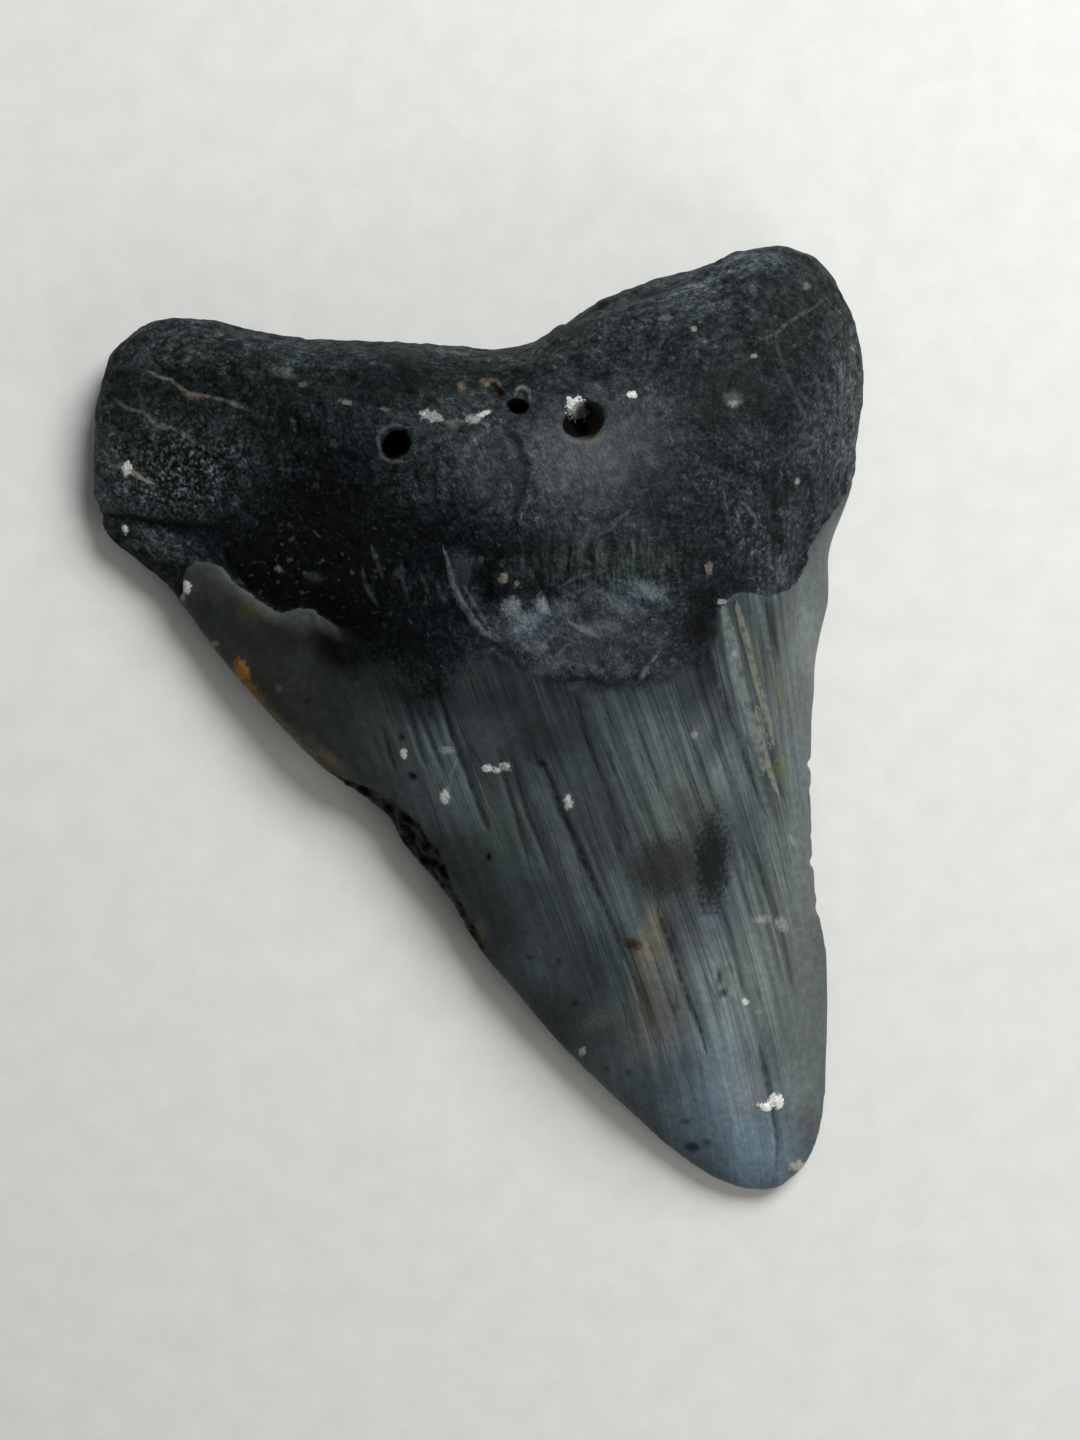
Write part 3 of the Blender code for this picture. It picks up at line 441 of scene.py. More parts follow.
# Broad tones, each over the ones before: colour, strength, then x, y, half width, half length in
# pixels, lean. Some are partly painted light: the deepest tones where the root faces away from the
# window, under the enamel's lip and beside its steps are partly painted shade, the pale slate over
# the torus and the blue over the bourlette are partly a painted sheen, and the blue grey at the tip
# is a painted reflection of the sky.
ROOT_TONES = (
    (ROOT_SLATE, 0.9, 180, 455, 100, 90), (ROOT_SLATE, 0.7, 190, 345, 110, 34),
    (ROOT_GREEN, 0.5, 300, 385, 60, 22, -20), (ROOT_GREEN, 0.4, 240, 360, 80, 16, -5),
    # The deepest tones over the root's slope that faces away from the window are partly painted shade
    (ROOT_DEEP_AND_SHADE, 0.7, 330, 450, 90, 80), (ROOT_DEEP_AND_SHADE, 0.95, 330, 575, 210, 78, -12),
    (ROOT_DEEP_AND_SHADE, 0.95, 370, 620, 90, 60), (ROOT_DEEP_AND_SHADE, 0.8, 165, 526, 75, 10, -4),
    (ROOT_SLATE, 0.75, 160, 549, 45, 16, -22), (ROOT_DEEP_AND_SHADE, 0.7, 245, 555, 60, 22, -22),
    (ROOT_SLATE, 0.5, 440, 470, 60, 40), (ROOT_GREEN, 0.4, 440, 400, 60, 26),
    # The pale slate over the torus is partly its worn surface, partly a painted sheen
    (WORN_SLATE_AND_SHEEN, 0.8, 600, 460, 95, 72), (WORN_SLATE_AND_SHEEN, 0.45, 490, 470, 44, 62),
    (WORN_SLATE_AND_SHEEN, 0.45, 640, 430, 60, 50), (WORN_SLATE_AND_SHEEN, 0.35, 560, 520, 60, 40),
    (ROOT_DEEP_AND_SHADE, 0.5, 517, 475, 7, 44), (ROOT_DEEP_AND_SHADE, 0.65, 440, 530, 60, 40),
    (ROOT_DEEP_AND_SHADE, 0.55, 690, 570, 60, 60), (ROOT_DEEP_AND_SHADE, 0.75, 705, 630, 26, 50, -10),
    (ROOT_GREEN, 0.45, 600, 560, 90, 34), (ROOT_SLATE, 0.8, 800, 320, 90, 80),
    (ROOT_SLATE, 0.7, 720, 290, 120, 34, 14), (WORN_SLATE_AND_SHEEN, 0.4, 730, 275, 70, 18, 14),
    (FIBRE_GREY, 0.7, 850, 400, 24, 120, 4), (WORN_SLATE_AND_SHEEN, 0.35, 815, 430, 30, 90),
    (WORN_SLATE_AND_SHEEN, 0.25, 700, 300, 30, 16), (PURPLE_GREY, 0.35, 745, 440, 22, 24),
    (PURPLE_GREY, 0.35, 776, 384, 20, 12), (ROOT_DEEP_AND_SHADE, 0.4, 780, 480, 30, 40),
    # The pale slate and the blue over the bourlette are partly a painted sheen
    (WORN_SLATE_AND_SHEEN, 0.3, 690, 470, 40, 40), (WORN_SLATE_AND_SHEEN, 0.45, 590, 650, 110, 34, -4),
    (BOURLETTE_SHEEN_BLUE, 0.3, 560, 625, 70, 26, 10), (BOURLETTE_SHEEN_BLUE, 0.25, 625, 600, 60, 22, -8),
    (FIBRE_GREY, 0.9, 826, 560, 12, 34, 10), (WORN_SLATE_AND_SHEEN, 0.35, 770, 575, 40, 26),
    (LIP_GREY_AND_HIGHLIGHT, 0.5, 540, 352, 50, 14, 14), (ROOT_GREEN, 0.5, 480, 350, 90, 10),
)
CROWN_TONES = (
    (WING_GREEN, 0.95, 250, 670, 140, 90, -38), (WING_GREEN, 0.5, 340, 730, 70, 60, -30),
    # The pale lip carries a painted highlight, and the deepest tones below it and below the enamel's
    # steps are partly painted shade
    (LIP_GREY_AND_HIGHLIGHT, 0.7, 215, 582, 32, 18, -30), (LIP_GREY_AND_HIGHLIGHT, 0.8, 306, 625, 24, 12, -10),
    (ROOT_DEEP_AND_SHADE, 0.35, 238, 634, 24, 12, -30), (ROOT_DEEP_AND_SHADE, 0.3, 330, 662, 26, 22),
    (BROWN_STAIN, 0.35, 300, 692, 24, 16, -20), (LIP_GREY_AND_HIGHLIGHT, 0.35, 262, 607, 28, 8, -30),
    (ENAMEL_DARK, 0.4, 210, 620, 30, 24), (ENAMEL_DARK, 0.45, 400, 740, 60, 80, -20),
    (ROOT_DEEP_AND_SHADE, 0.8, 352, 652, 30, 22, -20), (ROOT_DEEP_AND_SHADE, 0.85, 420, 690, 55, 36, -10),
    (ROOT_DEEP_AND_SHADE, 0.4, 520, 720, 90, 50), (ENAMEL_DARK, 0.7, 560, 700, 110, 34),
    (ENAMEL_DARK, 0.5, 520, 760, 50, 50), (STREAK_PALE, 0.16, 500, 820, 50, 60, -20),
    (ENAMEL_DARK, 0.8, 490, 900, 80, 110, -30), (ENAMEL_DARK, 0.5, 560, 1010, 70, 90, -34),
    (ENAMEL_DARK, 0.35, 640, 1110, 80, 60, -34), (STREAK_PALE, 0.22, 660, 790, 60, 80, -20),
    (STREAK_PALE, 0.35, 700, 800, 40, 60, -20), (PURPLE_GREY, 0.4, 590, 830, 40, 60, -20),
    (PURPLE_GREY, 0.3, 715, 720, 26, 60, -20), (ENAMEL_DARK, 0.5, 690, 690, 40, 40, -10),
    (ROOT_DEEP_AND_SHADE, 0.7, 704, 670, 20, 52, -14), (ENAMEL_DARK, 0.6, 716, 735, 14, 50, -20),
    (TAN_STAIN, 0.5, 652, 940, 16, 40, -14), (TAN_STAIN, 0.25, 652, 1000, 22, 60, -20),
    (PINK_STAIN, 0.45, 668, 1025, 26, 40, -24), (PINK_STAIN, 0.4, 745, 1100, 26, 30, -20),
    (STREAK_PALE, 0.45, 745, 960, 70, 110, -14), (PURPLE_GREY, 0.35, 700, 930, 26, 36, -10),
    # Painted reflection of the sky on the glossy tip
    (BLUE_GREY, 0.8, 765, 1160, 40, 44), (BLUE_GREY, 0.45, 715, 1130, 60, 50, -30),
    (BLUE_GREY, 0.2, 700, 1070, 60, 60, -20), (STREAK_PALE, 0.55, 800, 740, 28, 190),
    (STREAK_PALE, 0.35, 810, 640, 24, 70), (STREAK_PALE, 0.3, 805, 1000, 26, 140),
    (BROWN_STAIN, 0.55, 268, 712, 30, 8, -46), (TAN_STAIN, 0.45, 322, 756, 60, 8, -40),
    (BROWN_STAIN, 0.6, 365, 790, 30, 8, -36), (OCHRE, 0.5, 262, 700, 46, 7, -48),
    (BROWN_STAIN, 0.6, 216, 650, 30, 6, -50), (ENAMEL_DARK, 0.35, 770, 1080, 16, 60),
    (BLUE_GREY, 0.25, 800, 770, 16, 40, 20), (BROWN_STAIN, 0.6, 668, 862, 28, 26),
    (BROWN_STAIN, 0.8, 705, 862, 24, 40), (PURPLE_GREY, 0.35, 500, 730, 26, 18),
)

# Lighter and darker stretches of the root and of the crown, partly the tooth's own tone and partly
# painted light: painted highlights on the torus, the bourlette and the tip, and painted shade where
# the root faces away from the window, under the enamel's lip and beside its steps. A factor for the
# colour, then x, y, half width, half length in pixels, lean
ROOT_TONE_AND_PAINTED_LIGHT = (
    (2.3, 165, 502, 80, 32), (2.2, 104, 470, 24, 80), (2.9, 185, 546, 66, 20, -20),
    (0.5, 200, 383, 70, 26), (1.5, 260, 462, 40, 26), (1.35, 345, 425, 44, 24),
    (0.36, 405, 378, 60, 26), (0.42, 490, 376, 44, 22), (0.5, 545, 345, 44, 18, 10),
    (0.55, 325, 384, 60, 20), (1.65, 562, 462, 54, 48), (1.35, 478, 458, 22, 30, 10),
    (1.25, 550, 478, 18, 30), (1.45, 755, 258, 40, 14, 10), (0.65, 320, 528, 84, 46),
    (0.6, 268, 584, 40, 16, -30), (1.25, 404, 590, 40, 30), (0.5, 774, 510, 7, 46),
    (1.25, 796, 522, 12, 36), (0.6, 800, 566, 12, 22, 20), (1.7, 462, 618, 24, 26),
    (1.3, 400, 612, 40, 20), (1.5, 455, 545, 24, 20), (0.7, 500, 462, 18, 30),
    (1.3, 545, 662, 30, 14), (0.75, 748, 580, 20, 18), (0.7, 822, 555, 14, 30),
    (0.7, 262, 572, 30, 14, -30), (1.3, 216, 540, 24, 14), (1.3, 735, 258, 26, 12),
    (1.5, 98, 500, 12, 30), (1.3, 98, 425, 12, 30), (1.3, 160, 575, 30, 20), (1.3, 420, 505, 24, 24),
    (1.3, 822, 500, 14, 16), (1.3, 212, 545, 26, 16), (0.68, 322, 500, 34, 24),
    (1.5, 420, 615, 60, 26), (1.7, 458, 585, 22, 30), (0.8, 790, 325, 50, 40),
    (0.75, 420, 380, 26, 18), (0.75, 505, 376, 24, 16), (0.78, 540, 542, 56, 16),
    (0.7, 745, 582, 26, 18), (0.75, 822, 522, 16, 40, 8), (1.35, 575, 662, 50, 16),
    (1.3, 625, 335, 44, 20, 10), (0.46, 800, 320, 66, 76), (0.55, 765, 400, 70, 50),
    (0.55, 705, 430, 40, 66), (0.6, 655, 490, 26, 30), (0.6, 520, 545, 40, 20),
    (0.42, 258, 584, 60, 16, -34), (0.2, 336, 612, 40, 14, -30), (0.6, 742, 578, 24, 20),
    (0.7, 824, 545, 14, 30, 10), (1.4, 560, 664, 54, 16), (2.0, 492, 640, 60, 26, 20),
    (1.3, 545, 625, 50, 24), (0.5, 484, 592, 14, 28, -10), (0.75, 700, 500, 30, 60),
    (0.45, 700, 630, 22, 50, -8), (1.25, 640, 560, 40, 24), (0.7, 570, 580, 30, 14),
)
CROWN_TONE_AND_PAINTED_LIGHT = (
    (1.8, 405, 735, 50, 60, -30), (1.5, 455, 770, 40, 60, -20), (1.6, 525, 830, 60, 40, -20),
    (1.4, 560, 880, 60, 46, -20), (1.7, 610, 970, 50, 60, -20), (1.3, 630, 864, 20, 30),
    (1.25, 580, 985, 30, 40, -20), (1.3, 690, 975, 40, 30, -10), (0.8, 805, 960, 26, 90),
    (1.5, 540, 960, 40, 50, -30), (1.7, 620, 1050, 50, 50, -30), (1.9, 690, 1080, 70, 50, -20),
    (1.9, 748, 1125, 60, 60), (1.15, 760, 775, 40, 50), (0.8, 668, 872, 30, 26),
    (1.5, 652, 918, 26, 26), (0.7, 706, 908, 26, 26), (0.72, 742, 910, 30, 50),
    (0.5, 700, 812, 34, 30), (1.35, 718, 1030, 44, 34, -20), (0.78, 336, 692, 30, 36),
    (0.75, 346, 626, 22, 18), (1.2, 225, 650, 24, 50, -30), (0.6, 332, 622, 20, 18),
    (1.25, 662, 905, 24, 14), (0.6, 335, 640, 26, 30), (1.35, 460, 705, 24, 24),
    (1.25, 420, 815, 20, 20), (0.8, 462, 862, 30, 24, -20), (1.3, 545, 860, 24, 24),
    (1.3, 640, 895, 36, 22), (1.15, 660, 960, 60, 40, -20), (1.2, 720, 1025, 40, 30, -10),
    (0.85, 715, 1105, 40, 20), (1.3, 600, 710, 50, 24), (0.6, 545, 742, 34, 20),
    (0.22, 342, 643, 26, 20), (0.62, 300, 636, 40, 20), (1.35, 500, 740, 40, 24),
    (0.85, 800, 700, 30, 150), (1.25, 225, 650, 40, 40, -40), (1.3, 800, 640, 24, 40),
)

# Where the root is granular, fibrous, striated, worn smooth or flecked: share, then x, y, half
# width, half length in pixels, lean
ZONES = {
    "granular": ((1.0, 185, 470, 80, 62, 10), (0.6, 300, 500, 60, 60), (0.35, 740, 470, 70, 90)),
    "fibrous": (
        (0.9, 190, 345, 130, 34), (0.7, 330, 365, 110, 30, -5), (0.8, 480, 365, 110, 30),
        (0.9, 680, 295, 140, 36, 16), (0.45, 840, 400, 44, 150), (0.4, 780, 330, 80, 60),
    ),
    "striated": ((1.0, 400, 585, 80, 44), (1.0, 600, 565, 140, 44), (0.7, 770, 540, 50, 60)),
    "worn": (
        (1.0, 600, 455, 110, 90), (0.7, 590, 640, 120, 50), (0.6, 490, 470, 46, 60),
        (0.7, 600, 550, 110, 50), (0.5, 720, 420, 70, 60),
    ),
    "flecked": (
        (1.0, 330, 560, 120, 56), (0.8, 290, 450, 80, 60), (0.7, 400, 620, 50, 40),
        (0.8, 500, 545, 60, 30),
    ),
}

# The stretch of the left rim where the enamel is chipped away: x, y, half width in pixels
CHIPPED_EDGE = (
    (330, 774, 2), (342, 782, 5), (356, 790, 8), (372, 800, 11), (388, 813, 14), (402, 832, 18),
    (418, 852, 18), (432, 870, 15), (444, 888, 9), (456, 905, 5), (466, 924, 7), (474, 938, 6),
    (482, 950, 2),
)
# Nicks of the right rim: x, y, half width, half length in pixels, depth in millimetres
RIM_NICKS = (
    (812, 764, 8, 7, 0.35), (814, 790, 8, 10, 0.2), (816, 836, 8, 6, 0.2), (815, 862, 8, 8, 0.35),
    (820, 908, 8, 10, 0.25),
)

# Mouths of the foramina: x, y, half width, half length in pixels, lean
FORAMINA = ((396.5, 444.5, 15.5, 13, 35), (518, 405, 12, 7, -8), (579, 423, 16, 15, 30))
# How far round each mouth the solid's own facets are kept, in times its size
FORAMEN_REACH = 1.7


# Numbers and fields over the skin

def lattice(points, size, seed):
    """Smooth lumps of about that size, from -1 to 1, at each point."""
    knots = np.random.default_rng(seed).uniform(-1, 1, (32, 32, 32))
    place = points / size
    low = np.floor(place).astype(int)
    share = place - low
    share = share * share * (3 - 2 * share)
    total = np.zeros(len(points))
    for corner in itertools.product((0, 1), repeat=3):
        weight = np.prod(np.where(corner, share, 1 - share), axis=1)
        knot = (low + corner) % 32
        total += weight * knots[knot[:, 0], knot[:, 1], knot[:, 2]]
    return total


def wobble(points, seed):
    """A ragged shift, of up to about three pixels."""
    return 1.2 * lattice(points, 0.9, seed) + 2.2 * lattice(points, 2.4, seed + 1)


def hump(share):
    """1 in the middle, 0 at one radius away, smooth at both."""
    return (1 - np.clip(share, 0, 1) ** 2) ** 2


def step_up(low, high, value):
    """0 at low and 1 at high, smooth at both."""
    share = np.clip((value - low) / (high - low), 0, 1)
    return share * share * (3 - 2 * share)


def nearest(path, x, y):
    """Each point's distance from the path, its side of it, and the path's row and length there."""
    rows = np.array(path, float)
    best = np.full(len(x), np.inf)
    side = np.ones(len(x))
    length = np.zeros(len(x))
    found = np.zeros((len(x), rows.shape[1]))
    walked = 0
    for start, end in zip(rows, rows[1:]):
        run = end - start
        reach = math.hypot(run[0], run[1])
        along = np.clip(((x - start[0]) * run[0] + (y - start[1]) * run[1]) / reach**2, 0, 1)
        off_x = x - start[0] - along * run[0]
        off_y = y - start[1] - along * run[1]
        away = np.hypot(off_x, off_y)
        closer = away < best
        best = np.where(closer, away, best)
        side = np.where(closer, np.where(run[0] * off_y > run[1] * off_x, 1, -1), side)
        length = np.where(closer, walked + along * reach, length)
        found = np.where(closer[:, None], start + along[:, None] * run, found)
        walked += reach
    return best, side, found, length


def oval(x, y, middle_x, middle_y, across, along, lean=0):
    """0 in the middle of a leaning oval, 1 on its edge."""
    turn = math.radians(lean)
    off_x = (x - middle_x) * math.cos(turn) - (y - middle_y) * math.sin(turn)
    off_y = (x - middle_x) * math.sin(turn) + (y - middle_y) * math.cos(turn)
    return np.hypot(off_x / across, off_y / along)


def seen_at(points):
    """Where the camera sees each point, in the photo's pixels."""
    size = PIXEL * (CAMERA[2] - points[:, 2]) / (CAMERA[2] - FOCUS_HEIGHT)
    x = PHOTO[0] / 2 + (points[:, 0] - CAMERA[0]) / size
    y = PHOTO[1] / 2 - (points[:, 1] - CAMERA[1]) / size
    return x, y


def streak_places(x, y):
    """Each point's place across the crown's streaks and along them, in pixels."""
    low = np.clip(y - STREAK_BEND, 0, None)
    bent = np.minimum(y, STREAK_BEND) - STREAK_MIDDLE + low - low**2 / (2 * STREAK_TURN)
    at, lean = np.array(STREAK_LEAN, float).T
    across = x.copy()
    for _ in range(6):
        across = x - np.interp(across, at, lean) * bent
    return across, y - STREAK_MIDDLE


def line_field(lines, x, y, reach):
    """The nearest line: its distance, signed by side, half width, strength, relief and colour.

    Where a line comes near an earlier one, its sides are matched to that one's, so that the signed
    distance doesn't jump between them. The strength ends at the reach.
    """
    best = np.full(len(x), np.inf)
    signed = np.full(len(x), 9.0)
    width, force, height = np.ones(len(x)), np.zeros(len(x)), np.zeros(len(x))
    tint = np.tile(CRACK_DARK, (len(x), 1))
    for lift, strength, shade, path in lines:
        away, side, row, _ = nearest(path, x, y)
        gap = away - row[:, 2]
        meeting = (np.abs(gap - best) < 0.3 * reach) & (best < 1.2 * reach)
        if np.sum(side[meeting] * np.sign(signed[meeting])) < 0:
            side = -side
        closer = gap < best
        best = np.where(closer, gap, best)
        signed = np.where(closer, away * side, signed)
        width = np.where(closer, row[:, 2], width)
        force = np.where(closer, strength, force)
        height = np.where(closer, lift, height)
        tint = np.where(closer[:, None], shade, tint)
    force = force * step_up(-reach, -0.6 * reach, width - np.abs(signed))
    return {"signed": signed, "width": width, "force": force, "height": height, "tint": tint}


def crack_field(cracks, x, y, reach):
    """The nearest crack, as a line of the one dark colour."""
    return line_field([(*crack[:2], CRACK_DARK, crack[2]) for crack in cracks], x, y, reach)


def mark_field(x, y):
    """How far each point is inside the nearest mark, and what the mark is like."""
    inside = np.full(len(x), -1.5)
    soft, force, lift = np.ones(len(x)), np.zeros(len(x)), np.zeros(len(x))
    tint = np.tile(DRY_CLAY, (len(x), 1))
    marks = [(shade, *mark) for shade, group in MARKS.items() for mark in group]
    for shade, strength, softness, height, *place in marks:
        reach = 1 - oval(x, y, *place)
        nearer = reach > inside
        inside = np.where(nearer, reach, inside)
        soft = np.where(nearer, softness / min(place[2], place[3]), soft)
        force = np.where(nearer, strength, force)
        tint = np.where(nearer[:, None], shade, tint)
        lift = np.maximum(lift, height * step_up(-0.3, 0.6, reach))
    return {"inside": inside, "soft": soft, "force": force, "tint": tint, "lift": lift}


def zone(places, x, y):
    """How strongly each point has the texture of the zone."""
    share = np.zeros(len(x))
    for strength, *place in places:
        share = np.maximum(share, strength * hump(oval(x, y, *place) / ZONE_SPREAD))
    return share


# The skin

def read_points(mesh):
    points = np.empty(len(mesh.vertices) * 3)
    mesh.vertices.foreach_get("co", points)
    return points.reshape(-1, 3) / MM


def read_normals(mesh):
    normals = np.empty(len(mesh.vertices) * 3, np.float32)
    mesh.vertices.foreach_get("normal", normals)
    return normals.reshape(-1, 3).astype(float)


def settle(body):
    """Applies the body's modifiers."""
    graph = bpy.context.evaluated_depsgraph_get()
    mesh = bpy.data.meshes.new_from_object(body.evaluated_get(graph))
    body.modifiers.clear()
    body.data = mesh


def weigh(body, name, chosen):
    """A vertex group with the chosen points at 1 and the others at 0."""
    group = body.vertex_groups.new(name=name)
    for level, members in ((0.0, ~chosen), (1.0, chosen)):
        group.add(np.flatnonzero(members).tolist(), level, "REPLACE")
    return name


def plain_copy(node):
    """One closed body in the form of the node, with its own mesh."""
    form = bmesh.new()
    form.from_mesh(node.data)
    bmesh.ops.remove_doubles(form, verts=form.verts, dist=0.001 * MM)
    mesh = bpy.data.meshes.new("fossil_tooth")
    form.to_mesh(mesh)
    form.free()
    body = bpy.data.objects.new("fossil_tooth", mesh)
    bpy.context.scene.collection.objects.link(body)
    return body


def fine_skin(node):
    """A fine, even, smooth skin over the tooth's plain solid, with coarser faces underneath."""
    body = plain_copy(node)
    grain = body.modifiers.new("even faces", "REMESH")
    grain.mode = "VOXEL"
    grain.voxel_size = SKIN_GRAIN * MM
    settle(body)
    x, y = seen_at(read_points(body.data))
    away = np.min([oval(x, y, *place) for place in FORAMINA], axis=0)
    kept = (away < FORAMEN_REACH) & (read_normals(body.data)[:, 2] > -0.5)
    soften = body.modifiers.new("soft facets", "SMOOTH")
    soften.factor = 0.5
    soften.iterations = SMOOTHING_PASSES
    soften.vertex_group = weigh(body, "smoothed", ~kept)
    settle(body)
    hidden = read_normals(body.data)[:, 2] < UNDERSIDE_TILT
    thin = body.modifiers.new("coarser underneath", "DECIMATE")
    thin.vertex_group = weigh(body, "hidden", hidden)
    thin.ratio = 1 - hidden.mean() * (1 - UNDERSIDE_SHARE)
    settle(body)
    body.vertex_groups.clear()
    return body


def enamel_side(points, x, y, upward):
    """How far each point is onto the enamel, in millimetres, and the step that its edge has."""
    away, side, row, _ = nearest(ENAMEL_EDGE, x, y)
    top = away * side * PIXEL
    step = row[:, 2]
    away, side, row, _ = nearest(LABIAL_EDGE, points[:, 0], points[:, 1])
    return np.where(upward, top, -away * side), np.where(upward, step, row[:, 2])


def survey(body):
    """Everything that the sculpting and the painting read from the skin."""
    points = read_points(body.data)
    normals = read_normals(body.data)
    top = step_up(-0.15, 0.25, normals[:, 2])
    x, y = seen_at(points)
    ragged_x, ragged_y = x + wobble(points, 11), y + wobble(points, 13)
    across, along = streak_places(x, y)
    rim_away, _, _, rim_along = nearest(ROOT_RIM, x, y)
    enamel, step = enamel_side(points, ragged_x, ragged_y, normals[:, 2] > -0.1)
    chip_away, _, chip_row, _ = nearest(CHIPPED_EDGE, ragged_x, ragged_y)
    holes = [(1 - oval(x, y, *place)) * min(place[2], place[3]) for place in FORAMINA]
    skin = {
        "points": points, "normals": normals, "top": top, "x": x, "y": y,
        "ragged_x": ragged_x, "ragged_y": ragged_y, "across": across, "along": along,
        "rim_away": rim_away, "rim_along": rim_along,
        "enamel": enamel, "step": step, "on_enamel": step_up(-0.15, 0.15, enamel),
        "dark": crack_field(DARK_LINES, x, y, LINE_REACH),
        "crack": crack_field(LABIAL_CRACKS, points[:, 0], points[:, 1], LABIAL_REACH),
        "pale": line_field(PALE_LINES, x, y, LINE_REACH),
        "marks": mark_field(x, y),
        "hole": np.max(holes, axis=0),
        "chip": chip_row[:, 2] - chip_away,
    }
    for name, places in ZONES.items():
        skin[name] = top * zone(places, ragged_x, ragged_y)
    return skin


def stretched(skin, across_size, along_size, seed):
    """Lumps drawn out along the crown's streaks, and other ones on the lower face."""
    place = np.stack([
        skin["across"] / across_size,
        skin["along"] / along_size,
        np.where(skin["normals"][:, 2] > 0, 0.5, 7.5),
    ], axis=1)
    return lattice(place, 1.0, seed)


def rim_grain(skin, across_size, along_size, seed):
    """Lumps drawn out along the root's rim."""
    place = np.stack([
        skin["rim_away"] / across_size,
        skin["rim_along"] / along_size,
        skin["points"][:, 2] / 1.5,
    ], axis=1)
    return lattice(place, 1.0, seed)


def root_relief(skin):
    """Lumps and pores of the root, its grain along the rim and the striae over the bourlette."""
    points, on_root = skin["points"], 1 - skin["on_enamel"]
    porous = on_root * (1 - 0.75 * skin["worn"])
    lift = np.zeros(len(points))
    for height, size, seed in ROOT_LUMPS:
        lift += porous * height * lattice(points, size, seed)
    for depth, size, low, high, seed in ROOT_PORES:
        lift -= porous * depth * step_up(low, high, lattice(points, size, seed))
    lift += on_root * skin["fibrous"] * 0.16 * rim_grain(skin, 6, 70, 25)
    lift += on_root * skin["striated"] * 0.12 * stretched(skin, 7, 60, 26)
    return lift


def crown_relief(skin):
    """The enamel's raised edge, its streaks and its broken stretch."""
    points, edge, step = skin["points"], skin["enamel"], skin["step"]
    fading = np.exp(-np.abs(edge) / LEDGE_FADE)
    lift = np.clip(step, 0, None) * step_up(-0.15, 0.2, edge) * fading
    lift += np.clip(-step, 0, None) * step_up(-0.2, 0.15, -edge) * fading
    inner = skin["on_enamel"] * step_up(0, RELIEF_FADE, RELIEF_RIM - skin["x"])
    inner = inner * step_up(*RELIEF_RISE, skin["x"])
    lift += inner * 0.05 * stretched(skin, 14, 260, 31)
    lift += inner * 0.03 * stretched(skin, 7, 180, 32)
    lift += skin["on_enamel"] * 0.03 * lattice(points, 1.6, 33)
    broken = skin["top"] * step_up(0, 4, skin["chip"])
    return lift - broken * (0.22 + 0.3 * lattice(points, 1.3, 41) + 0.2 * lattice(points, 0.6, 42))


def line_relief(line, slope):
    return line["height"] * hump(np.abs(line["signed"]) / (line["width"] + slope))


def small_relief(skin):
    """Cracks, scratches, pits, crumbs and nicks."""
    x, y, top = skin["x"], skin["y"], skin["top"]
    lift = top * (line_relief(skin["pale"], LINE_SLOPE) - line_relief(skin["dark"], LINE_SLOPE))
    lift -= (1 - top) * line_relief(skin["crack"], LABIAL_SLOPE)
    for depth, _, *place in PITS:
        lift -= top * depth * hump(oval(x, y, *place))
    lift += top * skin["marks"]["lift"]
    for middle_x, middle_y, across, along, depth in RIM_NICKS:
        lift -= depth * hump(oval(x, y, middle_x, middle_y, across, along))
    return lift


def sculpt(body, skin):
    """Moves the skin in and out along its normals, inside the plain solid's box."""
    lift = root_relief(skin) + crown_relief(skin) + small_relief(skin)
    moved = skin["points"] + skin["normals"] * lift[:, None]
    low, high = np.array(cad_box) / MM
    moved = np.clip(moved, low, high)
    body.data.vertices.foreach_set("co", (moved * MM).ravel())
    body.data.update()


# The paint

def coat(paint, colour, share):
    return paint + (np.array(colour) - paint) * np.clip(share, 0, 1)[:, None]


def ground(points, colour, patches, least, spread, size, seed):
    """A coat of one colour, with soft patches of another."""
    paint = np.tile(colour, (len(points), 1))
    return coat(paint, patches, least + spread * lattice(points, size, seed))


def stained(paint, tones, skin):
    """The paint with the broad tones of the upper face."""
    for shade, strength, *place in tones:
        spread = hump(oval(skin["ragged_x"], skin["ragged_y"], *place) / TONE_SPREAD)
        paint = coat(paint, shade, skin["top"] * strength * spread**0.8)
    return paint


def lit(paint, stretches, skin):
    """The paint with its lighter and darker stretches: partly the tooth's own tone, partly painted
    highlights and shade.
    """
    power = np.zeros(len(paint))
    for factor, *place in stretches:
        spread = hump(oval(skin["ragged_x"], skin["ragged_y"], *place) / LIGHT_SPREAD)
        power += math.log(factor) * spread
    return paint * np.exp(power * skin["top"])[:, None]


def bluish(paint, share):
    return paint * (1 + (np.array(BLUE_LEAN) - 1) * share[:, None])


def pitted(paint, skin):
    """The paint with the dark of the pits."""
    for _, strength, *place in PITS:
        inside = 1.15 - oval(skin["ragged_x"], skin["ragged_y"], *place)
        paint = coat(paint, CRACK_DARK, skin["top"] * strength * step_up(0, 0.8, inside))
    return paint


def root_paint(skin):
    """The root's colour at each point, with painted highlights and shade on the upper face."""
    points, worn = skin["points"], skin["worn"]
    paint = ground(points, ROOT_BLACK, ROOT_SLATE, 0.45, 0.45, 4, 51)
    paint = lit(stained(paint, ROOT_TONES, skin), ROOT_TONE_AND_PAINTED_LIGHT, skin)
    paint = bluish(paint, (0.3 + 0.7 * step_up(*ROOT_BLUE, skin["ragged_x"])) * (1 - 0.9 * worn))
    clots = 0.35 * lattice(points, 1.4, 53) + 0.35 * lattice(points, 0.8, 54)
    return pitted(paint * (1 + clots * (1 - 0.6 * worn))[:, None], skin)


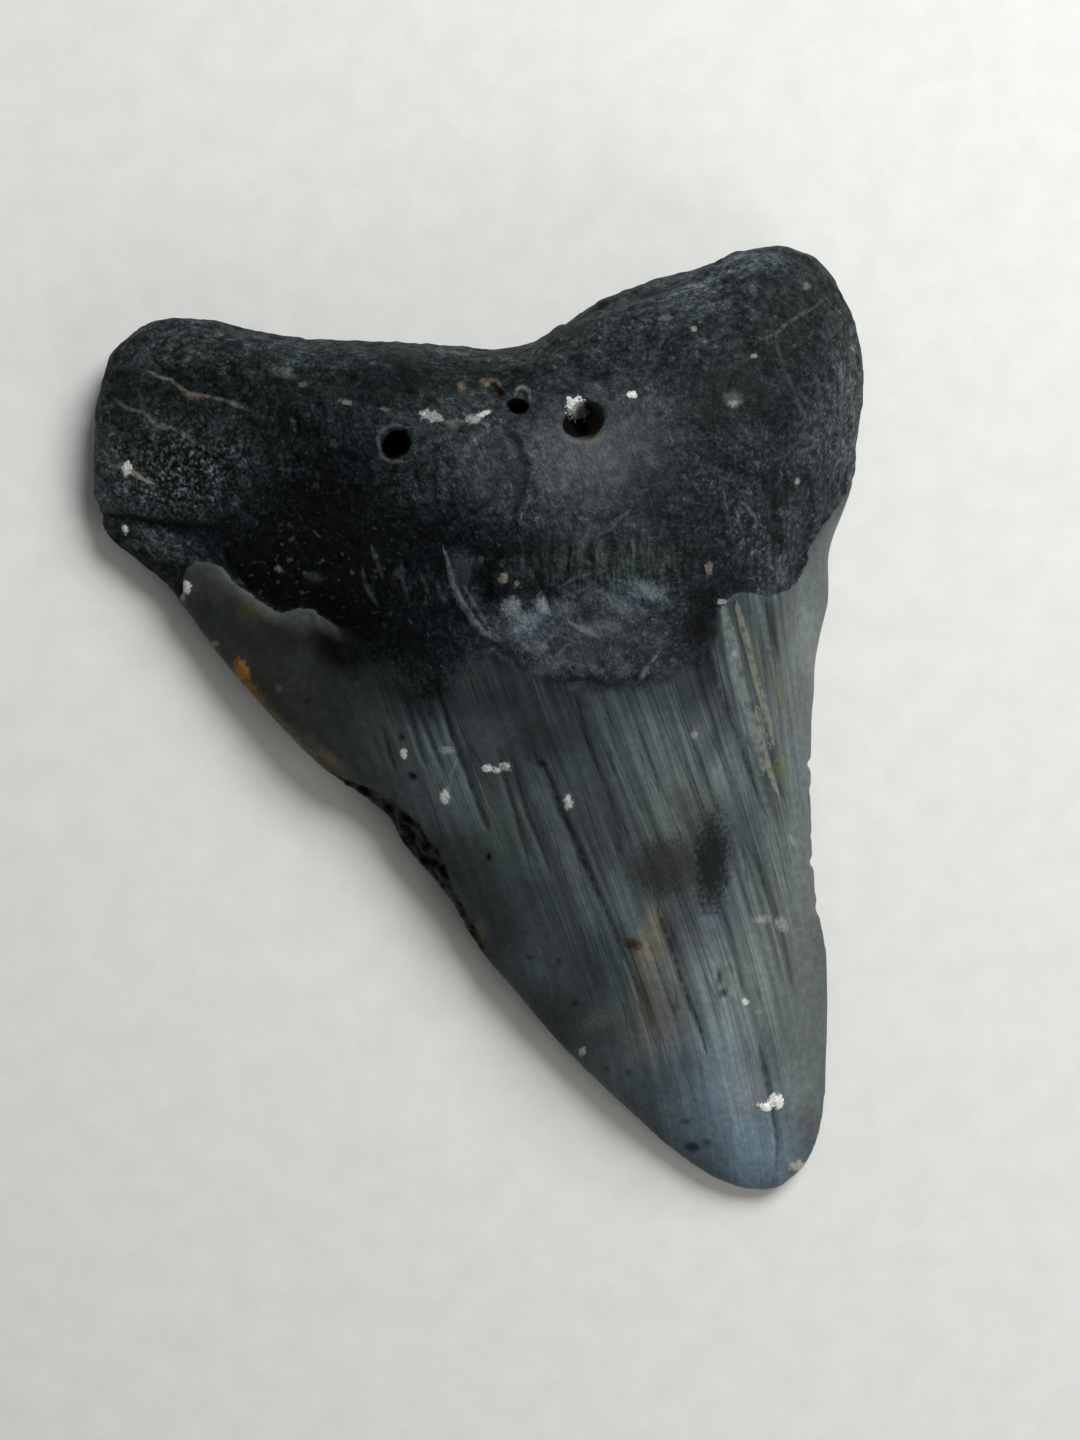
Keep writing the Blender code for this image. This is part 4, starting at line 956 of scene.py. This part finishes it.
def crown_paint(skin):
    """The enamel's colour at each point of both faces, with painted highlights and shade on the upper
    one.
    """
    points, top, x = skin["points"], skin["top"], skin["ragged_x"]
    paint = ground(points, ENAMEL_GREY, ENAMEL_DARK, 0.4, 0.5, 6, 52)
    paint = stained(paint, CROWN_TONES, skin)
    for shade, strength, *place in LABIAL_STAINS:
        spread = hump(oval(points[:, 0], points[:, 1], *place) / TONE_SPREAD)
        paint = coat(paint, shade, (1 - top) * strength * spread)
    middle = step_up(*CROWN_BLUE, x) * step_up(*CROWN_BLUE_END, x)
    paint = bluish(lit(paint, CROWN_TONE_AND_PAINTED_LIGHT, skin), 0.8 * middle)
    # A pale band along the enamel's lip: partly its own pale edge, partly a painted highlight where
    # the ledge catches the light
    lip = top * step_up(1.8, 0.1, skin["enamel"]) * step_up(*LIP_END, x)
    return pitted(coat(paint, LIP_GREY_AND_HIGHLIGHT, 0.8 * lip), skin)


def streakiness(skin):
    """How strongly the enamel is streaked: not on the left shoulder or along the right rim."""
    x, y, across = skin["x"], skin["y"], skin["across"]
    streaky = step_up(*COLOUR_RISE, across) * step_up(0, COLOUR_FADE, COLOUR_RIM - x)
    streaky = streaky * (1 - 0.6 * step_up(*COLOUR_TIP, y))
    streaky = streaky * (1 - 0.75 * step_up(*CALM_ROWS, y) * step_up(*CALM_PLACES, across))
    streaky = streaky * (1 - 0.5 * hump(oval(x, y, *CALM_OVAL)))
    return streaky * (1 + 0.6 * hump(oval(x, y, *STRONG_OVAL)))


def keep_colour(mesh, name, values):
    layer = mesh.attributes.new(name, "FLOAT_COLOR", "POINT")
    full = np.concatenate([values, np.ones((len(values), 1))], axis=1)
    layer.data.foreach_set("color", full.astype(np.float32).ravel())


def keep_vector(mesh, name, *columns):
    layer = mesh.attributes.new(name, "FLOAT_VECTOR", "POINT")
    layer.data.foreach_set("vector", np.stack(columns, axis=1).astype(np.float32).ravel())


def paint_skin(mesh, skin):
    """Colours, lines and finishes of the skin, kept as attributes for its material."""
    top, worn, height = skin["top"], skin["worn"], skin["points"][:, 2]
    upper = top > 0.5
    keep_colour(mesh, "root_stain", root_paint(skin))
    keep_colour(mesh, "crown_stain", crown_paint(skin))
    keep_colour(mesh, "trace", skin["pale"]["tint"])
    keep_colour(mesh, "crumb_and_glint", skin["marks"]["tint"])

    dark, pale, crack, marks = skin["dark"], skin["pale"], skin["crack"], skin["marks"]
    keep_vector(mesh, "pale_line", pale["signed"] * PIXEL, pale["width"] * PIXEL, pale["force"] * top)
    keep_vector(
        mesh, "dark_line",
        np.where(upper, dark["signed"] * PIXEL, crack["signed"]),
        np.where(upper, dark["width"] * PIXEL, crack["width"]),
        np.where(upper, dark["force"] * top, crack["force"] * (1 - top)),
    )
    keep_vector(mesh, "mark", marks["inside"], marks["soft"], marks["force"] * top)
    unseen = np.where(upper, 0, FAR_OUTSIDE)
    chip, hole = skin["chip"] * PIXEL + unseen, skin["hole"] * PIXEL + unseen
    keep_vector(mesh, "edges", skin["enamel"], chip, hole)

    enamel_rough = 0.40 - 0.05 * worn
    rough = enamel_rough + (0.62 - 0.22 * worn - enamel_rough) * (1 - skin["on_enamel"])
    crisp = step_up(*CRISP_LEFT, skin["ragged_x"]) + step_up(*CRISP_RIGHT, skin["ragged_x"])
    soft = np.where(upper, 1.3 - 1.22 * np.clip(crisp, 0, 1), 0.3)
    keep_vector(mesh, "finish", rough, skin["granular"], streakiness(skin))
    keep_vector(mesh, "weave", skin["fibrous"], skin["striated"], soft)
    keep_vector(mesh, "wear", worn, skin["flecked"], np.zeros(len(top)))
    keep_vector(mesh, "grain", skin["across"] * PIXEL, skin["along"] * PIXEL, height)
    keep_vector(mesh, "fibre", skin["rim_away"] * PIXEL, skin["rim_along"] * PIXEL, height)


# Materials

class Nodes:
    """Short ways to add and wire a material's nodes."""

    def __init__(self, material):
        material.use_nodes = True
        self.tree = material.node_tree
        self.shader = self.tree.nodes["Principled BSDF"]
        self.place = self.tree.nodes.new("ShaderNodeTexCoord").outputs["Object"]

    def put(self, socket, value):
        if isinstance(value, bpy.types.NodeSocket):
            self.tree.links.new(value, socket)
        else:
            socket.default_value = value

    def add(self, kind, **inputs):
        node = self.tree.nodes.new(kind)
        for name, value in inputs.items():
            self.put(node.inputs[name.replace("_", " ")], value)
        return node

    def math(self, operation, *values):
        node = self.tree.nodes.new("ShaderNodeMath")
        node.operation = operation
        for socket, value in zip(node.inputs, values):
            self.put(socket, value)
        return node.outputs[0]

    def times(self, first, *others):
        for other in others:
            first = self.math("MULTIPLY", first, other)
        return first

    def plus(self, first, second):
        return self.math("ADD", first, second)

    def minus(self, first, second):
        return self.math("SUBTRACT", first, second)

    def off_middle(self, noise):
        """How far a noise is from its middle value, which is 0 along thin branching lines."""
        return self.math("ABSOLUTE", self.minus(noise, 0.5))

    def ramp(self, value, low, high, to_low=0.0, to_high=1.0):
        ends = {"From_Min": low, "From_Max": high, "To_Min": to_low, "To_Max": to_high}
        node = self.add("ShaderNodeMapRange", Value=value, **ends)
        node.interpolation_type = "SMOOTHSTEP"
        return node.outputs["Result"]

    def mix(self, share, first, second):
        node = self.tree.nodes.new("ShaderNodeMix")
        node.data_type = "RGBA"
        for socket, value in ((0, share), (6, first), (7, second)):
            self.put(node.inputs[socket], value)
        return node.outputs[2]

    def attribute(self, name, output):
        node = self.tree.nodes.new("ShaderNodeAttribute")
        node.attribute_name = name
        return node.outputs[output]

    def parts_of(self, name):
        return self.add("ShaderNodeSeparateXYZ", Vector=self.attribute(name, "Vector")).outputs

    def stretch(self, vector, scale):
        return self.add("ShaderNodeMapping", Vector=vector, Scale=scale).outputs["Vector"]

    def noise(self, vector, scale, detail=2.0, roughness=0.5):
        sizes = {"Scale": scale, "Detail": detail, "Roughness": roughness}
        return self.add("ShaderNodeTexNoise", Vector=vector, **sizes).outputs["Fac"]

    def bump(self, height, distance):
        node = self.add("ShaderNodeBump", Height=height, Strength=1.0, Distance=distance * MM)
        return node.outputs["Normal"]

    def faded(self, share, tone):
        """The tone where the share is 1, and no change where it is 0."""
        return self.plus(1.0, self.times(share, self.minus(tone, 1.0)))

    def shaded(self, name, tone):
        """The colours of an attribute, times the tone."""
        node = self.tree.nodes.new("ShaderNodeVectorMath")
        node.operation = "SCALE"
        self.put(node.inputs[0], self.attribute(name, "Color"))
        self.put(node.inputs["Scale"], tone)
        return node.outputs["Vector"]


class FossilNodes(Nodes):
    """The tooth's own fields, and the textures that its coats share."""

    def __init__(self, material):
        super().__init__(material)
        self.rough, self.granular, self.streaky = self.parts_of("finish")
        self.fibrous, self.striated, self.soft = self.parts_of("weave")
        self.worn, self.flecked, _ = self.parts_of("wear")
        self.enamel, self.chip, self.hole = self.parts_of("edges")
        self.grain, self.fibre = self.attribute("grain", "Vector"), self.attribute("fibre", "Vector")
        self.grit = self.noise(self.place, 3000, 2.0, 0.65)
        self.clots = self.noise(self.place, 1250, 2.0, 0.6)
        self.granules = self.noise(self.place, 2300, 1.0, 0.5)
        self.hair = self.noise(self.stretch(self.grain, (2.6, 0.10, 0.02)), 1.0, 3.0, 0.6)
        thread = self.noise(self.stretch(self.grain, (1.1, 0.05, 0.02)), 1.0, 0.0)
        self.threads = self.ramp(self.off_middle(thread), 0.0, 0.035, 1.0, 0.0)
        self.ragged = self.times(self.minus(self.noise(self.place, 1500, 2.0), 0.5), 0.5)


def colour(rgb):
    return (*rgb, 1.0)


def root_tone(n):
    """How light the root is: rugged where it is porous, with bright specks and granules that are
    partly painted highlights on its tiny bumps, and even where it is worn smooth.
    """
    crevices = n.off_middle(n.noise(n.place, 850, 3.0, 0.6))
    strands = n.noise(n.stretch(n.fibre, (3.0, 0.28, 0.5)), 1.0, 3.0, 0.65)
    ridges = n.noise(n.stretch(n.place, (2300, 330, 330)), 1.0, 3.0, 0.6)
    # The bright specks, and the granules below, are partly painted highlights where tiny bumps catch
    # the light
    specks = n.ramp(n.noise(n.place, 1900, 0.0, 0.5), 0.70, 0.80, 0.0, 2.2)
    rugged = n.times(
        n.ramp(n.grit, 0.3, 0.7, 0.55, 1.55),
        n.ramp(n.clots, 0.3, 0.7, 0.5, 1.7),
        n.ramp(crevices, 0.0, 0.05, 0.45, 1.12),
    )
    even = n.times(n.ramp(n.grit, 0.3, 0.7, 0.92, 1.09), n.ramp(n.clots, 0.3, 0.7, 0.82, 1.2))
    tone = n.times(
        n.plus(rugged, n.times(n.worn, n.minus(even, rugged))),
        n.faded(n.granular, n.ramp(n.granules, 0.42, 0.66, 0.25, 3.0)),
        n.faded(n.fibrous, n.ramp(strands, 0.32, 0.72, 0.35, 2.2)),
        n.faded(n.striated, n.ramp(ridges, 0.32, 0.70, 0.35, 2.1)),
    )
    return n.plus(tone, n.times(specks, n.minus(1.0, n.worn)))


def crown_tone(n):
    """How light the enamel is: hair streaks, bands and dark threads, or a mottle between them."""
    band = n.noise(n.stretch(n.grain, (0.9, 0.03, 0.02)), 1.0, 2.0, 0.5)
    streaks = n.times(
        n.ramp(n.hair, 0.3, 0.7, 0.80, 1.2),
        n.ramp(band, 0.3, 0.7, 0.74, 1.3),
        n.minus(1.0, n.times(n.threads, 0.35)),
    )
    mottle = n.faded(n.ramp(n.streaky, 0.0, 1.0, 1.0, 0.7), n.ramp(n.clots, 0.3, 0.7, 0.86, 1.18))
    return n.times(n.faded(n.streaky, streaks), mottle)


def line_share(n, name, blur, tear):
    """How much a line covers, with torn edges and patches that are fainter."""
    signed, width, force = n.parts_of(name)
    away = n.plus(n.math("ABSOLUTE", signed), n.times(n.ragged, tear))
    inside = n.ramp(n.minus(away, width), n.times(blur, -1.0), blur, 1.0, 0.0)
    return n.times(inside, force, n.ramp(n.clots, 0.3, 0.62, 0.3, 1.0))


def mark_share(n):
    """How much a mark covers, a grain, a smear or a painted glint, with a torn edge."""
    inside, softness, force = n.parts_of("mark")
    torn = n.times(n.minus(n.noise(n.place, 2400, 2.0, 0.7), 0.5), 2.0)
    return n.times(n.ramp(n.plus(inside, torn), n.times(softness, -1.0), softness), force)


def fossil_material():
    """Dark porous root, streaked enamel with cracks, a somewhat glossy bourlette with painted glints
    and sheen, and specks of sand.
    """
    material = bpy.data.materials.new("fossil tooth")
    n = FossilNodes(material)
    on_enamel = n.ramp(n.plus(n.enamel, n.ragged), n.times(n.soft, -1.0), n.soft)
    flecks = n.times(n.flecked, n.ramp(n.noise(n.place, 1150, 1.0, 0.4), 0.65, 0.72), 0.9)
    root = n.mix(flecks, n.shaded("root_stain", root_tone(n)), colour(LIP_GREY_AND_HIGHLIGHT))
    paint = n.mix(on_enamel, root, n.shaded("crown_stain", crown_tone(n)))

    broken = n.ramp(n.plus(n.chip, n.ragged), -0.02, 0.08)
    chipped = n.mix(n.ramp(n.grit, 0.56, 0.76), colour(BLACK_AND_HOLE_SHADE), colour(BROWN_STAIN))
    paint = n.mix(broken, paint, chipped)

    blur = n.plus(0.12, n.times(n.streaky, 0.22))
    dark = n.times(line_share(n, "dark_line", blur, 0.45), n.ramp(n.streaky, 0.0, 1.0, 1.0, 0.92))
    paint = n.mix(dark, paint, colour(CRACK_DARK))
    paint = n.mix(line_share(n, "pale_line", 0.14, 0.35), paint, n.attribute("trace", "Color"))
    # Painted shade: the mouths of the foramina are painted black and matt
    hole_shade = n.ramp(n.plus(n.hole, n.times(n.ragged, 0.4)), -0.06, 0.12)
    paint = n.mix(hole_shade, paint, colour(BLACK_AND_HOLE_SHADE))
    marked = mark_share(n)
    paint = n.mix(marked, paint, n.shaded("crumb_and_glint", n.ramp(n.grit, 0.3, 0.7, 0.7, 1.15)))
    n.put(n.shader.inputs["Base Color"], paint)

    gloss = n.plus(n.rough, n.times(n.minus(n.grit, 0.5), 0.3))
    matt = n.times(n.math("MAXIMUM", dark, marked), 0.75)
    gloss = n.math("MAXIMUM", gloss, matt)
    n.put(n.shader.inputs["Roughness"], n.math("MAXIMUM", gloss, hole_shade))
    n.shader.inputs["Specular IOR Level"].default_value = 0.08

    grains = n.times(n.minus(1.0, on_enamel), n.plus(n.grit, n.times(n.granular, n.granules)))
    striped = n.times(n.streaky, n.plus(n.hair, n.times(n.threads, -0.6)))
    height = n.plus(n.times(grains, 0.12), n.times(striped, 0.04))
    height = n.minus(height, n.times(dark, 0.08))
    n.put(n.shader.inputs["Normal"], n.bump(height, 1.0))
    return material


def paper_material():
    material = bpy.data.materials.new("white paper")
    n = Nodes(material)
    mottle = n.ramp(n.noise(n.place, 260, 3.0, 0.6), 0.3, 0.7)
    n.put(n.shader.inputs["Base Color"], n.mix(mottle, colour(PAPER_SHADE), colour(PAPER_WHITE)))
    n.shader.inputs["Roughness"].default_value = 0.9
    n.shader.inputs["Specular IOR Level"].default_value = 0.1
    return material


# The stage

def make_paper():
    sheet = bmesh.new()
    bmesh.ops.create_grid(sheet, x_segments=1, y_segments=1, size=PAPER_REACH * MM)
    mesh = bpy.data.meshes.new("paper")
    sheet.to_mesh(mesh)
    sheet.free()
    paper = bpy.data.objects.new("paper", mesh)
    bpy.context.scene.collection.objects.link(paper)
    mesh.materials.append(paper_material())


def make_camera():
    lens = bpy.data.cameras.new("camera above")
    lens.sensor_fit = "VERTICAL"
    lens.sensor_height = SENSOR
    lens.lens = SENSOR * (CAMERA[2] - FOCUS_HEIGHT) / (PHOTO[1] * PIXEL)
    lens.clip_start = 10 * MM
    camera = bpy.data.objects.new("camera above", lens)
    camera.location = Vector(CAMERA) * MM
    bpy.context.scene.collection.objects.link(camera)
    bpy.context.scene.camera = camera


def make_light(name, place, size, power, tint):
    """A round lamp that faces the tooth."""
    lamp = bpy.data.lights.new(name, "AREA")
    lamp.shape = "DISK"
    lamp.size = size * MM
    lamp.energy = power
    lamp.color = tint
    light = bpy.data.objects.new(name, lamp)
    light.location = Vector(place) * MM
    light.rotation_euler = (-light.location).to_track_quat("-Z", "Y").to_euler()
    bpy.context.scene.collection.objects.link(light)


def make_lights():
    make_light("window", (228, 296, 330), 300, 2.7, DAYLIGHT)
    make_light("room", (330, -260, 220), 260, 0.6, ROOM_LIGHT)
    world = bpy.data.worlds.new("soft room")
    world.use_nodes = True
    around = world.node_tree.nodes["Background"].inputs
    around["Color"].default_value = colour(ROOM_LIGHT)
    around["Strength"].default_value = ROOM_GLOW
    bpy.context.scene.world = world
    bpy.context.scene.view_settings.view_transform = "Standard"


make_camera()
make_lights()
make_paper()

tooth = fine_skin(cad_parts["tooth"])
skin = survey(tooth)
sculpt(tooth, skin)
paint_skin(tooth.data, skin)
tooth.data.materials.clear()
tooth.data.materials.append(fossil_material())
tooth.data.shade_smooth()
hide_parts("tooth")
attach(tooth, "root")
